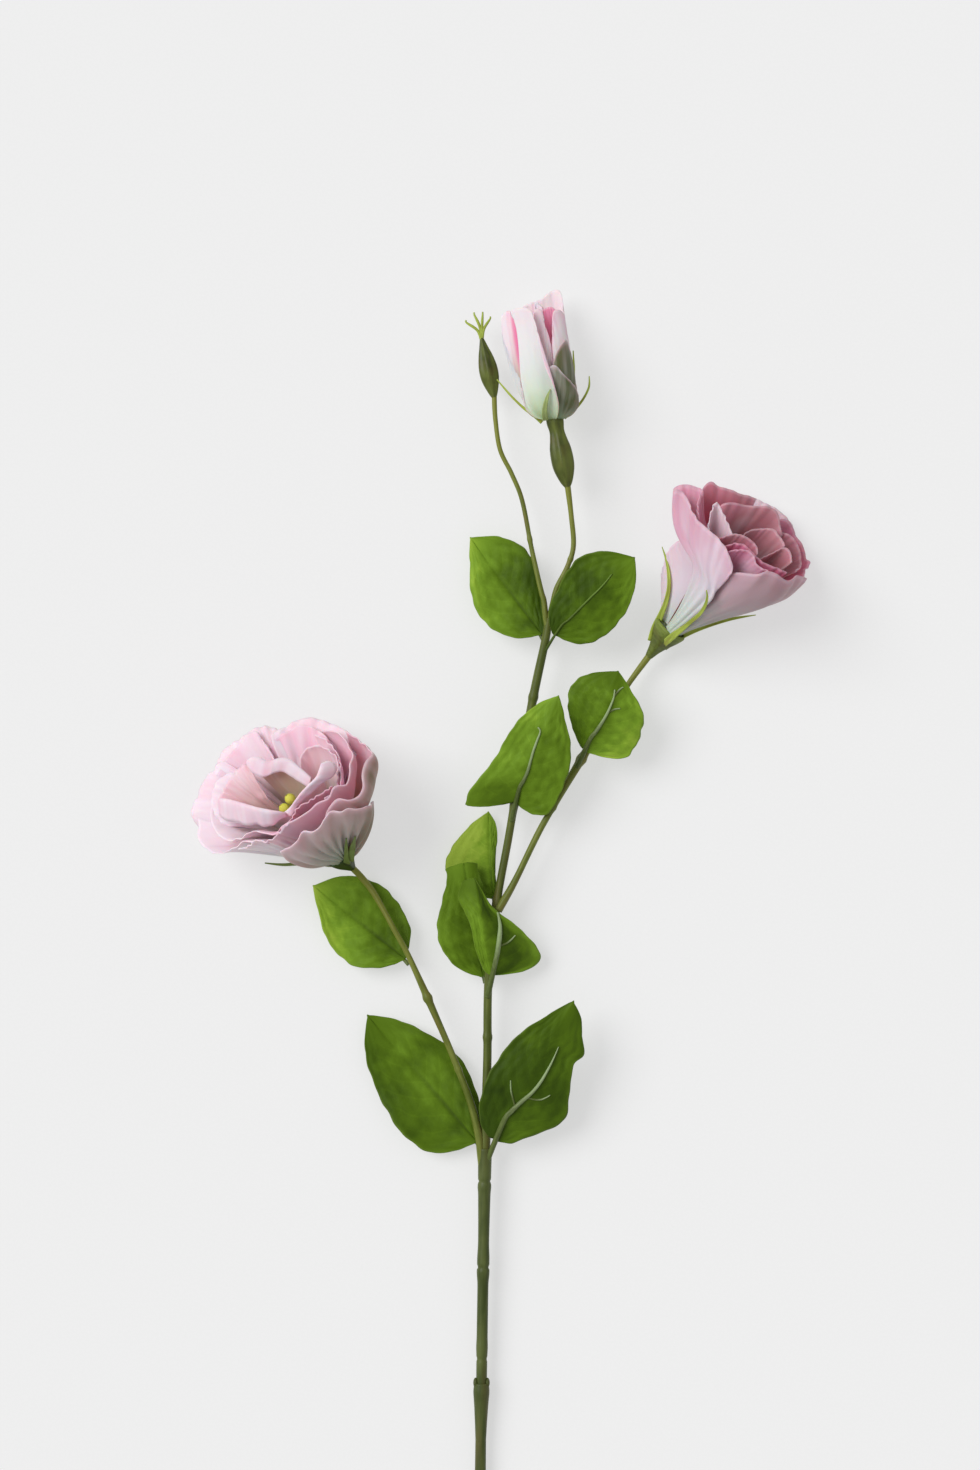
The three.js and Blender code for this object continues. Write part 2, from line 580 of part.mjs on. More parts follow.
// Materials
const material = (color, roughness) =>
  new THREE.MeshStandardMaterial({ color, roughness, metalness: 0, side: THREE.DoubleSide });
const STEM = material(0x5f7a3c, 0.55);
const THIN_STEM = material(0x8f9b45, 0.55);
const LEAF = material(0x5f9428, 0.5);
const RIB = material(0x9db47a, 0.6);
const PETAL = material(0xe9b3c8, 0.75);
const CALYX = material(0x4f6a2c, 0.6);
const PISTIL = material(0xd2cc4a, 0.6);

const MAIN_STEMS = ["lower_stem", "upper_stem"];

const spray = new THREE.Group();

function addPiece(group, name, solid, look) {
  const mesh = new THREE.Mesh(toGeometry(solid), look);
  mesh.name = name;
  group.add(mesh);
  return mesh;
}

function standOn([x, y, z], bearing, climb) {
  const b = THREE.MathUtils.degToRad(bearing);
  const c = THREE.MathUtils.degToRad(climb);
  const axis = new THREE.Vector3(Math.cos(c) * Math.cos(b), Math.cos(c) * Math.sin(b), Math.sin(c));
  const top = new THREE.Vector3(0, 0, 1).addScaledVector(axis, -axis.z).normalize();
  const right = new THREE.Vector3().crossVectors(axis, top);
  const group = new THREE.Group();
  group.quaternion.setFromRotationMatrix(new THREE.Matrix4().makeBasis(top, right, axis));
  group.position.set(x, y, z);
  group.updateMatrix();
  spray.add(group);
  return group;
}

// Everything below the table's top, as seen by a group, to give the lowest petals their flat spots
function belowTable(group) {
  const depth = 60;
  const slab = new THREE.BoxGeometry(1200, 1200, depth).translate(0, 0, -depth / 2);
  return toSolid(slab.applyMatrix4(group.matrix.clone().invert()));
}

function buildBloom(name, bloom) {
  const group = standOn(bloom.foot, bloom.bearing, bloom.climb);
  const layer = (pieces, spread, steps) =>
    pieces.map((piece) => petal({ seat: SEAT + PETAL_THICKNESS / 2, spread, ...piece }, steps));
  const petals = [
    ...layer(bloom.outer, 2 * LAYER_GAP, OUTER_PETAL_STEPS),
    ...layer(bloom.middle, LAYER_GAP, MIDDLE_PETAL_STEPS),
    ...layer(bloom.inner, 0, INNER_PETAL_STEPS),
  ];
  const flower = join([petalTube(...bloom.tube), ...petals]).subtract(belowTable(group));
  addPiece(group, `${name}_petals`, tidied(flower), PETAL);

  const { foot, rimRadius, rimHeight } = bloom.calyx;
  const onRim = { root: rimRadius - 0.45, seat: rimHeight - 1.6 };
  const sepals = bloom.sepals.map((piece) => sepal({ ...onRim, ...piece }));
  addPiece(group, `${name}_calyx`, join([cup(foot, rimRadius, rimHeight), ...sepals]), CALYX);

  const styleFoot = SEAT + TUBE_HEIGHT + GAP;
  const style = lathe([[0, styleFoot], [1.2, styleFoot], [1, STYLE_TOP], [0, STYLE_TOP]], 6);
  const lobes = [-1, 1].map((way) =>
    new THREE.SphereGeometry(STIGMA.radius, 8, 5)
      .scale(1, 1, STIGMA.height / (2 * STIGMA.radius))
      .translate(0, (way * STIGMA.apart) / 2, STYLE_TOP + 1),
  );
  addPiece(group, `${name}_pistil`, join([style, ...lobes]), PISTIL);
}

function buildTopBloom({ foot, bearing, climb, flowerFoot, flowerBearing, flowerClimb, petals, sepals }) {
  const podGroup = standOn(foot, bearing, climb);
  const length = 28.5;
  const straps = sepals.map((piece) => sepal({ root: 2.6, seat: length - 1.2, ...piece }));
  const body = pod(length, [1.3, 3.9, 5.1, 4.6, 3.4, 3.7], 6, 0.06);
  addPiece(podGroup, "top_calyx", join([body, ...straps]), CALYX);

  const group = standOn(flowerFoot, flowerBearing, flowerClimb);
  const knot = lathe([[0, 0], [3, 0], [3.6, 4], [0, 4]], 10);
  const wrapped = { seat: 1.2, corner: 0.2, twist: 4, cup: -2, ruffle: 4, waves: 0.8 };
  const wraps = petals.map((piece, i) => {
    const [root, steps] = i < 4 ? [2.5, MIDDLE_PETAL_STEPS] : [1.8, INNER_PETAL_STEPS];
    return petal({ root, ...wrapped, ...piece }, steps);
  });
  addPiece(group, "top_petals", tidied(join([knot, ...wraps])), PETAL);
}

function buildBud({ foot, bearing, climb, length, tips }) {
  const group = standOn(foot, bearing, climb);
  const body = pod(length, [1.1, 3, 4.1, 3.7, 2, 0.9], 6, 0.06);
  const threads = tips.map(([aside, reach]) => {
    const path = [[0, 0, length - 3], [0, aside * 0.3, length + 3], [0, aside, reach]];
    return limb(path, [0.8, 0.7, 0.5], { steps: 3, sides: 5 });
  });
  addPiece(group, "closed_bud", join([body, ...threads]), CALYX);
}

for (const [name, { path, radii, stubs = [], ...options }] of Object.entries(STEMS)) {
  const short = stubs.map((stub) => limb(stub.path, stub.radii, { steps: 3 }));
  const solid = join([limb(path, radii, options), ...short]);
  const look = MAIN_STEMS.includes(name) ? STEM : THIN_STEM;
  addPiece(spray, name, solid.subtract(belowTable(spray)), look);
}

for (const [name, piece] of Object.entries(LEAVES)) {
  const grid = leafGrid(piece);
  addPiece(spray, name, toSolid(sheet(grid, LEAF_THICKNESS)), LEAF);
  const rib = leafRib(grid, piece.root, piece.onTop ?? false, piece.onTop ? 0.7 : 0.85);
  addPiece(spray, `${name}_rib`, toSolid(rib), RIB);
}

buildBloom("left_bloom", LEFT_BLOOM);
buildBloom("right_bloom", RIGHT_BLOOM);
buildTopBloom(TOP_BLOOM);
buildBud(BUD);

// The origin goes to the table under the middle of the spray's box
const box = new THREE.Box3().setFromObject(spray, true);
const middle = box.getCenter(new THREE.Vector3());
spray.position.set(-middle.x, -middle.y, 0);

export default spray;
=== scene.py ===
# %% [markdown]
# # A lisianthus spray, dressed for its photograph
# The real thing is a silk flower: cut cloth petals and leaves on moulded plastic stems, laid on a table
# and seen from straight above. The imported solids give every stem, leaf and bloom its place and size, and
# this lesson lays finer pieces over them: thin cloth with waved margins, pleats, veins and colour.

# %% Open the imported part
import math

import bpy
import numpy as np
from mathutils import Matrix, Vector


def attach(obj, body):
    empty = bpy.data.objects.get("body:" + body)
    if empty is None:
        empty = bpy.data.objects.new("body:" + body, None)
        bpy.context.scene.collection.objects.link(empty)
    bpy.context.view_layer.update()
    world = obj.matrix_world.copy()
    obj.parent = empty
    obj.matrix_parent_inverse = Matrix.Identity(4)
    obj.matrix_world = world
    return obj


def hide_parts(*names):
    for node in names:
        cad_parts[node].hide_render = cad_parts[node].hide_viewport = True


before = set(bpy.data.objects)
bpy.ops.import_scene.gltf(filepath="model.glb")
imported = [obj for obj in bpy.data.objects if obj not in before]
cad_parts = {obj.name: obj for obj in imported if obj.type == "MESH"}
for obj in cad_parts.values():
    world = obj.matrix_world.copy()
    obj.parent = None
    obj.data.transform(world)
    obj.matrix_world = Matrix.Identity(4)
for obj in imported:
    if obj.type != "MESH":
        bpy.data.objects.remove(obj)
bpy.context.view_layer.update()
print("packed nodes:", len(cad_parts))

# %% [markdown]
# ## Measures
# Lengths are written in millimetres, as a maker would measure the flower, and turned into metres when a
# mesh is made. Stems and leaves are given from the fork's ground point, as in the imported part. Petal
# margins are given as they are seen in the picture: so far to the right of the bloom's foot and so far
# up, at table scale, with the height above the table. The camera stands at one known spot, so a seen
# place and a height give a point in space.

# %% Measures
MM = 0.001
FORK = np.array([-4.930, -65.058, 0.0])
CAMERA_SPOT = np.array([-2.772, 114.062])
CAMERA_HEIGHT = 1615.0
SCALE_HEIGHT = 15.0
TURN = 2 * math.pi
UPWARDS = np.array([0.0, 0.0, 1.0])


def seen(spot, right, up, height):
    """The point at this height that the camera sees this far right of and above a spot of the picture."""
    nearer = (CAMERA_HEIGHT - height) / (CAMERA_HEIGHT - SCALE_HEIGHT)
    x, y = CAMERA_SPOT + (np.asarray(spot) + (right, up)) * nearer
    return np.array([x, y, height])


def from_fork(points):
    """Points measured from the fork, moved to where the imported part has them."""
    return np.asarray(points, float) + FORK


print("camera over", CAMERA_SPOT, "at", CAMERA_HEIGHT, "mm")

# %% [markdown]
# ## Camera and light
# The spray is seen from straight above, on a pale ground, with soft light from the left. The camera could
# be tilted, but a lens that looks straight down keeps the spray's outline true. One wide sun and a bright
# sky give the soft shadows.

# %% Camera and light
FILM_HEIGHT = 36.0
SEEN_HEIGHT = 632.1
WINDOW_STRENGTH = 2.1
WINDOW_WIDTH = math.radians(38)
WINDOW_WAY = Vector((1.0, -0.55, -1.15))
SKY_STRENGTH = 0.45


def set_the_stage():
    """The camera, the window light and the sky."""
    camera = bpy.data.objects.new("camera", bpy.data.cameras.new("camera"))
    camera.location = (CAMERA_SPOT[0] * MM, CAMERA_SPOT[1] * MM, CAMERA_HEIGHT * MM)
    camera.data.sensor_fit = "VERTICAL"
    camera.data.sensor_height = FILM_HEIGHT
    camera.data.lens = FILM_HEIGHT * (CAMERA_HEIGHT - SCALE_HEIGHT) / SEEN_HEIGHT
    window = bpy.data.objects.new("window_light", bpy.data.lights.new("window_light", "SUN"))
    window.data.energy = WINDOW_STRENGTH
    window.data.angle = WINDOW_WIDTH
    window.rotation_euler = WINDOW_WAY.to_track_quat("-Z", "Y").to_euler()
    for thing in (camera, window):
        bpy.context.scene.collection.objects.link(thing)
    bpy.context.scene.camera = camera
    sky = bpy.data.worlds.new("studio_sky")
    sky.use_nodes = True
    background = sky.node_tree.nodes["Background"]
    background.inputs["Color"].default_value = (1, 1, 1, 1)
    background.inputs["Strength"].default_value = SKY_STRENGTH
    bpy.context.scene.world = sky
    bpy.context.scene.view_settings.view_transform = "Standard"


set_the_stage()
print("lens", round(bpy.context.scene.camera.data.lens, 1), "mm")

# %% [markdown]
# ## A socket in a sum
# A finish is worked out from masks and ramps. Wiring each Math node by hand hides the sum, so one small
# class holds a socket and lets Python's own operators add the nodes.

# %% A socket in a sum


class Wire:
    """A shader socket that can stand in a Python sum."""

    def __init__(self, finish, socket):
        self.finish = finish
        self.socket = socket

    def __add__(self, other):
        return self.finish.sum("ADD", self, other)

    __radd__ = __add__

    def __sub__(self, other):
        return self.finish.sum("SUBTRACT", self, other)

    def __rsub__(self, other):
        return self.finish.sum("SUBTRACT", other, self)

    def __mul__(self, other):
        return self.finish.sum("MULTIPLY", self, other)

    __rmul__ = __mul__


print("sockets can be added, subtracted and multiplied")

# %% [markdown]
# ## A finish and its nodes
# Every material here is one main shader with a few nodes before it. The node editor would do as well, but
# one method that makes any node, sets it and links it keeps each finish down to a few readable lines.

# %% A finish and its nodes


def set_stops(ramp, stops):
    """Fills a colour ramp with stops of (position, colour)."""
    while len(ramp.elements) < len(stops):
        ramp.elements.new(0.5)
    for element, (position, colour) in zip(ramp.elements, stops):
        element.position = position
        element.color = (*colour, 1)


class Finish:
    """One material: its main shader and the nodes that feed it."""

    def __init__(self, name, **constants):
        self.material = bpy.data.materials.new(name)
        self.material.use_nodes = True
        self.tree = self.material.node_tree
        self.skin = self.tree.nodes["Principled BSDF"]
        for socket, value in constants.items():
            self.skin.inputs[socket.replace("_", " ")].default_value = value

    def feed(self, socket, value):
        if isinstance(value, Wire):
            self.tree.links.new(value.socket, socket)
        elif socket.type == "RGBA":
            socket.default_value = (*value, 1)
        else:
            socket.default_value = value

    def node(self, kind, settings=None, values=None, output=0):
        """Any node: its settings go in first, then the values or links of its sockets."""
        made = self.tree.nodes.new(kind)
        for key, value in (settings or {}).items():
            if key == "stops":
                set_stops(made.color_ramp, value)
            else:
                setattr(made, key, value)
        for key, value in (values or {}).items():
            self.feed(made.inputs[key], value)
        return Wire(self, made.outputs[output])

    def sum(self, operation, *values):
        return self.node("ShaderNodeMath", {"operation": operation}, dict(enumerate(values)))

    def paint(self, socket, value):
        """Feeds one input of the main shader."""
        self.feed(self.skin.inputs[socket], value)

    def measure(self, name):
        """A number stored on the mesh's points."""
        return self.node("ShaderNodeAttribute", {"attribute_name": name}, output="Fac")

    def ramp(self, factor, stops):
        return self.node("ShaderNodeValToRGB", {"stops": stops}, {0: factor}, "Color")

    def mix(self, factor, first, second):
        settings = {"data_type": "RGBA", "clamp_factor": True}
        return self.node("ShaderNodeMix", settings, {0: factor, 6: first, 7: second}, 2)

    def step(self, value, low, high):
        """0 below low, 1 above high, smooth between."""
        settings = {"interpolation_type": "SMOOTHSTEP"}
        return self.node("ShaderNodeMapRange", settings, {0: value, 1: low, 2: high})

    def vector(self, x, y, z):
        return self.node("ShaderNodeCombineXYZ", None, {0: x, 1: y, 2: z})

    def noise(self, place, scale, detail=2.0):
        """Soft random patches from 0 to 1, 1 / scale apart."""
        values = {"Vector": place, "Scale": scale, "Detail": detail}
        return self.node("ShaderNodeTexNoise", None, values, "Fac")

    def place(self):
        """The point itself, in metres."""
        return self.node("ShaderNodeTexCoord", output="Object")

    def bump(self, height, strength, distance):
        values = {"Height": height, "Strength": strength, "Distance": distance}
        self.paint("Normal", self.node("ShaderNodeBump", None, values))


print("finish helpers ready")

# %% [markdown]
# ## Floor
# The ground of the picture is even and nearly white, with hardly a shadow, as on a light table. A plain
# white floor would show a darker shadow, so this one is a grey sheet that glows a little. It is laid out
# far past the picture, so that no edge of it is seen from the side.

# %% Floor
FLOOR_GLOW = 0.53
FLOOR_REACH = 12.0
FLOOR_GRAIN = 900.0
FLOOR_GREYS = ((0.33, 0.33, 0.33), (0.36, 0.36, 0.36))


def make_floor():
    finish = Finish("pale_cloth_floor", Roughness=0.9, Emission_Strength=FLOOR_GLOW)
    grain = finish.noise(finish.place(), FLOOR_GRAIN)
    finish.paint("Base Color", finish.mix(grain, *FLOOR_GREYS))
    finish.paint("Emission Color", (1.0, 1.0, 1.0))
    mesh = bpy.data.meshes.new("floor")
    corners = [(x * FLOOR_REACH, y * FLOOR_REACH, 0) for x, y in ((-1, -1), (1, -1), (1, 1), (-1, 1))]
    mesh.from_pydata(corners, [], [(0, 1, 2, 3)])
    mesh.materials.append(finish.material)
    floor = bpy.data.objects.new("floor", mesh)
    bpy.context.scene.collection.objects.link(floor)


make_floor()
print("floor laid")

# %% [markdown]
# ## Curves
# Every piece starts from rows of measured points. A Catmull-Rom curve passes through all of them, which
# a Bezier with free handles would not, so what was measured stays where it was measured.

# %% Curves


def through(values, t):
    """A smooth curve through evenly spaced values, read at t from 0 to 1."""
    points = np.asarray(values, float)
    last = len(points) - 1
    x = np.clip(np.asarray(t, float), 0, 1) * last
    i = np.minimum(x.astype(int), last - 1)
    f = x - i
    if points.ndim > 1:
        f = f[..., None]
    before, here = points[np.maximum(i - 1, 0)], points[i]
    there, after = points[i + 1], points[np.minimum(i + 2, last)]
    bend = 2 * before - 5 * here + 4 * there - after
    twist = 3 * here - before - 3 * there + after
    return 0.5 * (2 * here + (there - before) * f + bend * f**2 + twist * f**3)


def evenly(points, count):
    """Evenly spaced points on the smooth curve through some points."""
    fine = through(points, np.linspace(0, 1, 20 * len(points)))
    lengths = np.concatenate([[0], np.cumsum(np.linalg.norm(np.diff(fine, axis=0), axis=1))])
    wanted = np.linspace(0, lengths[-1], count)
    return np.stack([np.interp(wanted, lengths, fine[:, k]) for k in range(3)], 1)


def smooth(x):
    """0 below 0, 1 above 1, smooth between."""
    x = np.clip(x, 0, 1)
    return x * x * (3 - 2 * x)


def ripple(turns):
    """A sine wave, counted in whole turns."""
    return np.sin(TURN * turns)


def unit(vectors):
    return vectors / np.maximum(np.linalg.norm(vectors, axis=-1, keepdims=True), 1e-9)


print("curve helpers ready")

# %% [markdown]
# ## Meshes
# Bloom, leaf and stem all become plain meshes. Modifiers could thicken the cloth, but the numbers that the
# finishes read have to sit on the very points that are made, so points, faces and numbers are gathered
# together and turned into one piece at the end.

# %% Meshes


class Shape:
    """Vertices, faces and the numbers stored on the vertices, gathered for one piece."""

    def __init__(self):
        self.vertices = []
        self.faces = []
        self.numbers = {}
        self.count = 0

    def add(self, vertices, faces, **numbers):
        vertices = np.asarray(vertices, float).reshape(-1, 3)
        self.vertices.append(vertices)
        self.faces += [[v + self.count for v in face] for face in faces]
        for key in self.numbers | numbers:
            rows = self.numbers.setdefault(key, [np.zeros(self.count)] if self.count else [])
            rows.append(np.broadcast_to(np.asarray(numbers.get(key, 0.0), float).ravel(), len(vertices)))
        self.count += len(vertices)

    def piece(self, name, finish, nodes):
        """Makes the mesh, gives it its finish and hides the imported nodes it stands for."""
        mesh = bpy.data.meshes.new(name)
        mesh.from_pydata((np.concatenate(self.vertices) * MM).tolist(), [], self.faces)
        for key, rows in self.numbers.items():
            stored = mesh.attributes.new(key, "FLOAT", "POINT")
            stored.data.foreach_set("value", np.concatenate(rows).astype(np.float32))
        mesh.polygons.foreach_set("use_smooth", [True] * len(mesh.polygons))
        mesh.materials.append(finish.material)
        mesh.update()
        thing = bpy.data.objects.new(name, mesh)
        bpy.context.scene.collection.objects.link(thing)
        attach(thing, "root")
        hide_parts(*nodes)


def grid_faces(rows, columns, closed=False):
    """Faces between the rows of a grid; closed joins its last column to its first."""
    faces = []
    for i in range(rows - 1):
        near, far = i * columns, (i + 1) * columns
        for j in range(columns if closed else columns - 1):
            after = (j + 1) % columns
            faces.append([near + j, far + j, far + after, near + after])
    return faces


def end_caps(rings, sides):
    """The two faces that close the ends of a tube of rings."""
    first = list(range(sides))
    return [first[::-1], [(rings - 1) * sides + j for j in first]]


def facings(grid):
    """The direction that each point of a grid faces."""
    return unit(np.cross(np.gradient(grid, axis=0), np.gradient(grid, axis=1)))


def cloth(shape, grid, thickness, lined=None, **numbers):
    """A thin closed sheet about a grid; inside differs on its two faces, unless lined gives it for both."""
    across, along = grid.shape[:2]
    total = across * along
    half = facings(grid) * thickness / 2
    front = grid_faces(across, along)
    back = [[v + total for v in reversed(face)] for face in front]
    rim = [i * along for i in range(across)] + [(across - 1) * along + j for j in range(1, along)]
    rim += [i * along + along - 1 for i in range(across - 2, -1, -1)] + list(range(along - 2, 0, -1))
    edge = [[r, q, q + total, r + total] for q, r in zip(rim, rim[1:] + rim[:1])]
    stored = {}
    for key, value in numbers.items():
        stored[key] = np.tile(np.broadcast_to(value, (across, along)).ravel(), 2)
    if lined is not None:
        stored["inside"][:] = lined
    elif "inside" in stored:
        stored["inside"][total:] = 1 - stored["inside"][total:]
    both = np.concatenate([(grid + half).reshape(-1, 3), (grid - half).reshape(-1, 3)])
    shape.add(both, front + back + edge, **stored)


def rod(shape, points, radii, sides, count, swells=(), **numbers):
    """A round rod along a path, with swells of (share of its length, extra radius, half width)."""
    path = evenly(points, count)
    share = np.linspace(0, 1, count)
    radius = through(radii, share)
    for where, extra, half in swells:
        radius = radius + extra * np.exp(-(((share - where) / half) ** 2))
    up = UPWARDS
    angle = np.linspace(0, TURN, sides, endpoint=False)
    rings = []
    for centre, r, way in zip(path, radius, unit(np.gradient(path, axis=0))):
        up = unit(up - way * (up @ way))
        side = np.cross(up, way)
        rings.append(centre + r * (np.cos(angle)[:, None] * side + np.sin(angle)[:, None] * up))
    stored = dict(along=np.repeat(share, sides), round=np.tile(angle / TURN, count)) | numbers
    wall = [face[::-1] for face in grid_faces(count, sides, closed=True)]
    shape.add(np.concatenate(rings), wall + end_caps(count, sides), **stored)


print("mesh helpers ready")

# %% [markdown]
# ## Finishes of the moulded plastic
# The stems and ribs are dull green plastic. Thin stems are yellower, with a brown flush on one side, as
# if sunned. A flat green would look like a toy, so a slow noise along the stem moves the colour, and a
# fine grain breaks up the highlights.

# %% Finishes of the moulded plastic
SLOW_PATCHES = 45.0
FINE_GRAIN = 700.0


def moulded(name, dark, light, flush, roughness=0.45, streak=18.0, end=None, fade=0.45):
    """Plastic tinted in two greens with a flushed side. From the share fade on it turns to the colour end."""
    finish = Finish(name, Roughness=roughness, Specular_IOR_Level=0.25)
    place = finish.place()
    slow = finish.noise(place, SLOW_PATCHES, 3.0)
    fine = finish.noise(place, FINE_GRAIN)
    round_it = finish.measure("round")
    along = finish.measure("along")
    lines = finish.noise(finish.vector(round_it * 9.0, along * streak, 0.3), 1.0, 3.0)
    colour = finish.mix(finish.step(slow * 0.6 + lines * 0.4, 0.35, 0.65), dark, light)
    side = finish.step(finish.noise(finish.vector(round_it * 2.0, along * 4.0, 2.7), 1.0), 0.5, 0.66)
    colour = finish.mix(side * 0.55, colour, flush)
    if end:
        faded = finish.step(along + (lines - 0.5) * 0.3, fade, fade + 0.55)
        colour = finish.mix(faded * 0.85, colour, end)
    finish.paint("Base Color", colour)
    finish.bump(fine * 0.4 + lines, 0.25, 0.0004)
    return finish


main_stem = moulded("green_stem_plastic", (0.045, 0.064, 0.012), (0.100, 0.124, 0.032), (0.12, 0.095, 0.03))
upper_green = moulded("upper_stem_plastic", (0.068, 0.090, 0.013), (0.135, 0.162, 0.030), (0.13, 0.10, 0.025))
thin_stem = moulded("yellow_stem_plastic", (0.095, 0.125, 0.014), (0.195, 0.222, 0.042), (0.17, 0.12, 0.03),
                    roughness=0.42, end=(0.21, 0.22, 0.032))
leaf_rib = moulded("pale_rib_plastic", (0.060, 0.085, 0.016), (0.12, 0.16, 0.04), (0.10, 0.12, 0.03),
                   end=(0.34, 0.44, 0.22), fade=0.28)
quiet_rib = moulded("green_rib_plastic", (0.045, 0.075, 0.006), (0.08, 0.13, 0.012), (0.06, 0.09, 0.01),
                    roughness=0.5, end=(0.15, 0.25, 0.035), fade=0.3)
cup_green = moulded("calyx_plastic", (0.022, 0.036, 0.006), (0.055, 0.085, 0.014), (0.05, 0.05, 0.012),
                    roughness=0.42)
open_cup_green = moulded("open_calyx_plastic", (0.065, 0.085, 0.010), (0.13, 0.165, 0.028),
                         (0.10, 0.09, 0.015), roughness=0.42, end=(0.24, 0.31, 0.06))
sepal_green = moulded("sepal_plastic", (0.29, 0.37, 0.045), (0.45, 0.54, 0.09), (0.26, 0.23, 0.04))
soft_sepal_green = moulded("soft_sepal_plastic", (0.12, 0.17, 0.035), (0.20, 0.26, 0.07), (0.14, 0.15, 0.04))
pale_sepal_green = moulded("pale_sepal_plastic", (0.33, 0.42, 0.14), (0.46, 0.55, 0.22), (0.30, 0.35, 0.12),
                           roughness=0.5)
pod_green = moulded("pod_plastic", (0.032, 0.044, 0.006), (0.125, 0.150, 0.030), (0.10, 0.09, 0.02),
                    roughness=0.38, streak=4.0)
pistil_yellow = moulded("pistil_plastic", (0.60, 0.60, 0.07), (0.72, 0.72, 0.11), (0.62, 0.58, 0.10),
                        roughness=0.55)
print("plastic finishes ready")

# %% [markdown]
# ## Stems
# Each stem is a moulded rod with small rings where its mould joins. It is given by points from its root
# to its end, by radii at even steps, and by its rings: where each is, how much it stands out or is cut in,
# and how wide it is. A bevelled curve would give the same rod, but a mesh rod can swell at its rings.

# %% Stems
STEMS = {
    "lower_stem": dict(
        path=[[-3, -239, 2.8], [-2.5, -195.5, 4], [-2, -139, 5], [-1.5, -100, 6], [-1, -65, 7],
              [-0.5, -32.5, 8], [0, 0.8, 9]],
        radii=[2.5, 2.5, 2.5, 2.3, 2.4, 2.4, 3.0],
        swells=[(0.619, -0.35, 0.0025), (0.640, 0.15, 0.012), (0.775, 0.35, 0.014), (0.785, -0.55, 0.0025),
                (0.800, 0.3, 0.018), (0.940, -0.45, 0.0025), (0.930, 0.2, 0.008)],
    ),
    "upper_stem": dict(
        path=[[0, 0.2, 9], [1, 39, 10], [1.5, 73.5, 11], [5, 106, 12], [10, 134, 12.5], [14, 157.5, 13],
              [20.5, 194, 14], [26, 220, 15], [27.5, 229.5, 15.4]],
        radii=[2.3, 1.9, 1.8, 1.8, 1.7, 1.7, 1.8, 1.9, 1.7],
        swells=[(0.21, 0.35, 0.006), (0.46, 0.4, 0.012), (0.65, 0.3, 0.012), (0.85, 0.35, 0.006)],
    ),
    "left_branch": dict(
        path=[[-0.9, -11, 8.6], [-1.6, -3, 9.4], [-2.8, 7, 10.2], [-6.5, 21.5, 10.5], [-14, 41, 11],
              [-21.5, 58.5, 11.5], [-32.5, 83, 12], [-39, 95, 11.5], [-47.5, 110, 8.2], [-53, 117.2, 6.9],
              [-56.8, 121.3, 8.4], [-58.4, 123.0, 9.6]],
        radii=[1.7, 1.8, 1.7, 1.5, 1.4, 1.4, 1.6, 1.3, 1.2, 1.2, 1.4, 1.4],
        swells=[(0.545, 0.6, 0.011), (0.32, 0.25, 0.008)],
    ),
    "right_branch": dict(
        path=[[5.6, 103.5, 13], [13, 116.5, 14], [23.5, 138, 14], [32.5, 153.5, 14], [42, 169.5, 13],
              [51.5, 184.5, 10.5], [61.5, 200.5, 7.8], [70.3, 212.6, 8.6], [72.2, 215.1, 9.4]],
        radii=[1.8, 1.4, 1.4, 1.4, 1.8, 1.5, 1.2, 1.5],
        swells=[(0.385, 0.35, 0.01), (0.57, 0.6, 0.014)],
    ),
    "bud_stem": dict(
        path=[[26.9, 225, 15.2], [26.1, 230, 15.8], [25.3, 237, 16.2], [24, 241.5, 16], [20, 259.5, 15],
              [16, 280, 14], [11.5, 291.5, 13.5], [6.5, 302, 13], [4.5, 315, 12.5], [4, 324.7, 12]],
        radii=[1.3, 1.2, 1.1, 1.0, 1.0, 1.0, 1.0, 1.0, 1.1],
        swells=[(0.38, 0.2, 0.012)],
    ),
    "top_stem": dict(
        path=[[27.2, 225, 15.2], [28, 230, 15.8], [29.3, 236, 16], [31, 242.5, 16.5], [35.5, 251.5, 17],
              [38, 260.5, 17.5], [37, 273.5, 18], [35.5, 285.8, 18]],
        radii=[1.4, 1.3, 1.2, 1.1, 1.1, 1.1, 1.3],
        swells=[(0.5, 0.2, 0.015)],
    ),
}
print("stems:", ", ".join(STEMS))

# %% [markdown]
# ## The socket in the lower stem
# Halfway up, the lower stem is plugged into a wider socket that swells upwards and has a small knob at
# each side. It could be cut from the stem by a boolean, but the real one is a second moulding over the
# first, so it is a second rod over the same path.

# %% The socket in the lower stem
STEM_SIDES = 20
STEM_STEPS = 201
COLLAR_STEPS = slice(94, 116, 3)
COLLAR_RADII = [2.3, 2.45, 2.6, 2.8, 3.0, 3.25, 3.5, 3.2]
COLLAR_SHARES = (0.465, 0.575)
COLLAR_SIDES = 28
COLLAR_RINGS = 40
KNOB_STEP = 115
KNOB_REACH = 2.6
KNOB_RADII = (1.0, 2.2, 1.9)
KNOB_ROWS = 9
KNOB_SIDES = 14


def knob(shape, centre):
    """A small rounded boss: rings about its own axis, which lies along the stem."""
    angle = np.linspace(0, TURN, KNOB_SIDES, endpoint=False)
    rings = []
    for polar in np.linspace(0.02, math.pi - 0.02, KNOB_ROWS):
        level = np.full(KNOB_SIDES, np.cos(polar))
        rings.append(np.stack([np.sin(polar) * np.cos(angle), level, np.sin(polar) * np.sin(angle)], 1))
    vertices = np.concatenate(rings) * KNOB_RADII + centre
    around = np.tile(angle / TURN, KNOB_ROWS)
    wall = grid_faces(KNOB_ROWS, KNOB_SIDES, closed=True)
    shape.add(vertices, wall + end_caps(KNOB_ROWS, KNOB_SIDES), along=0.5, round=around)


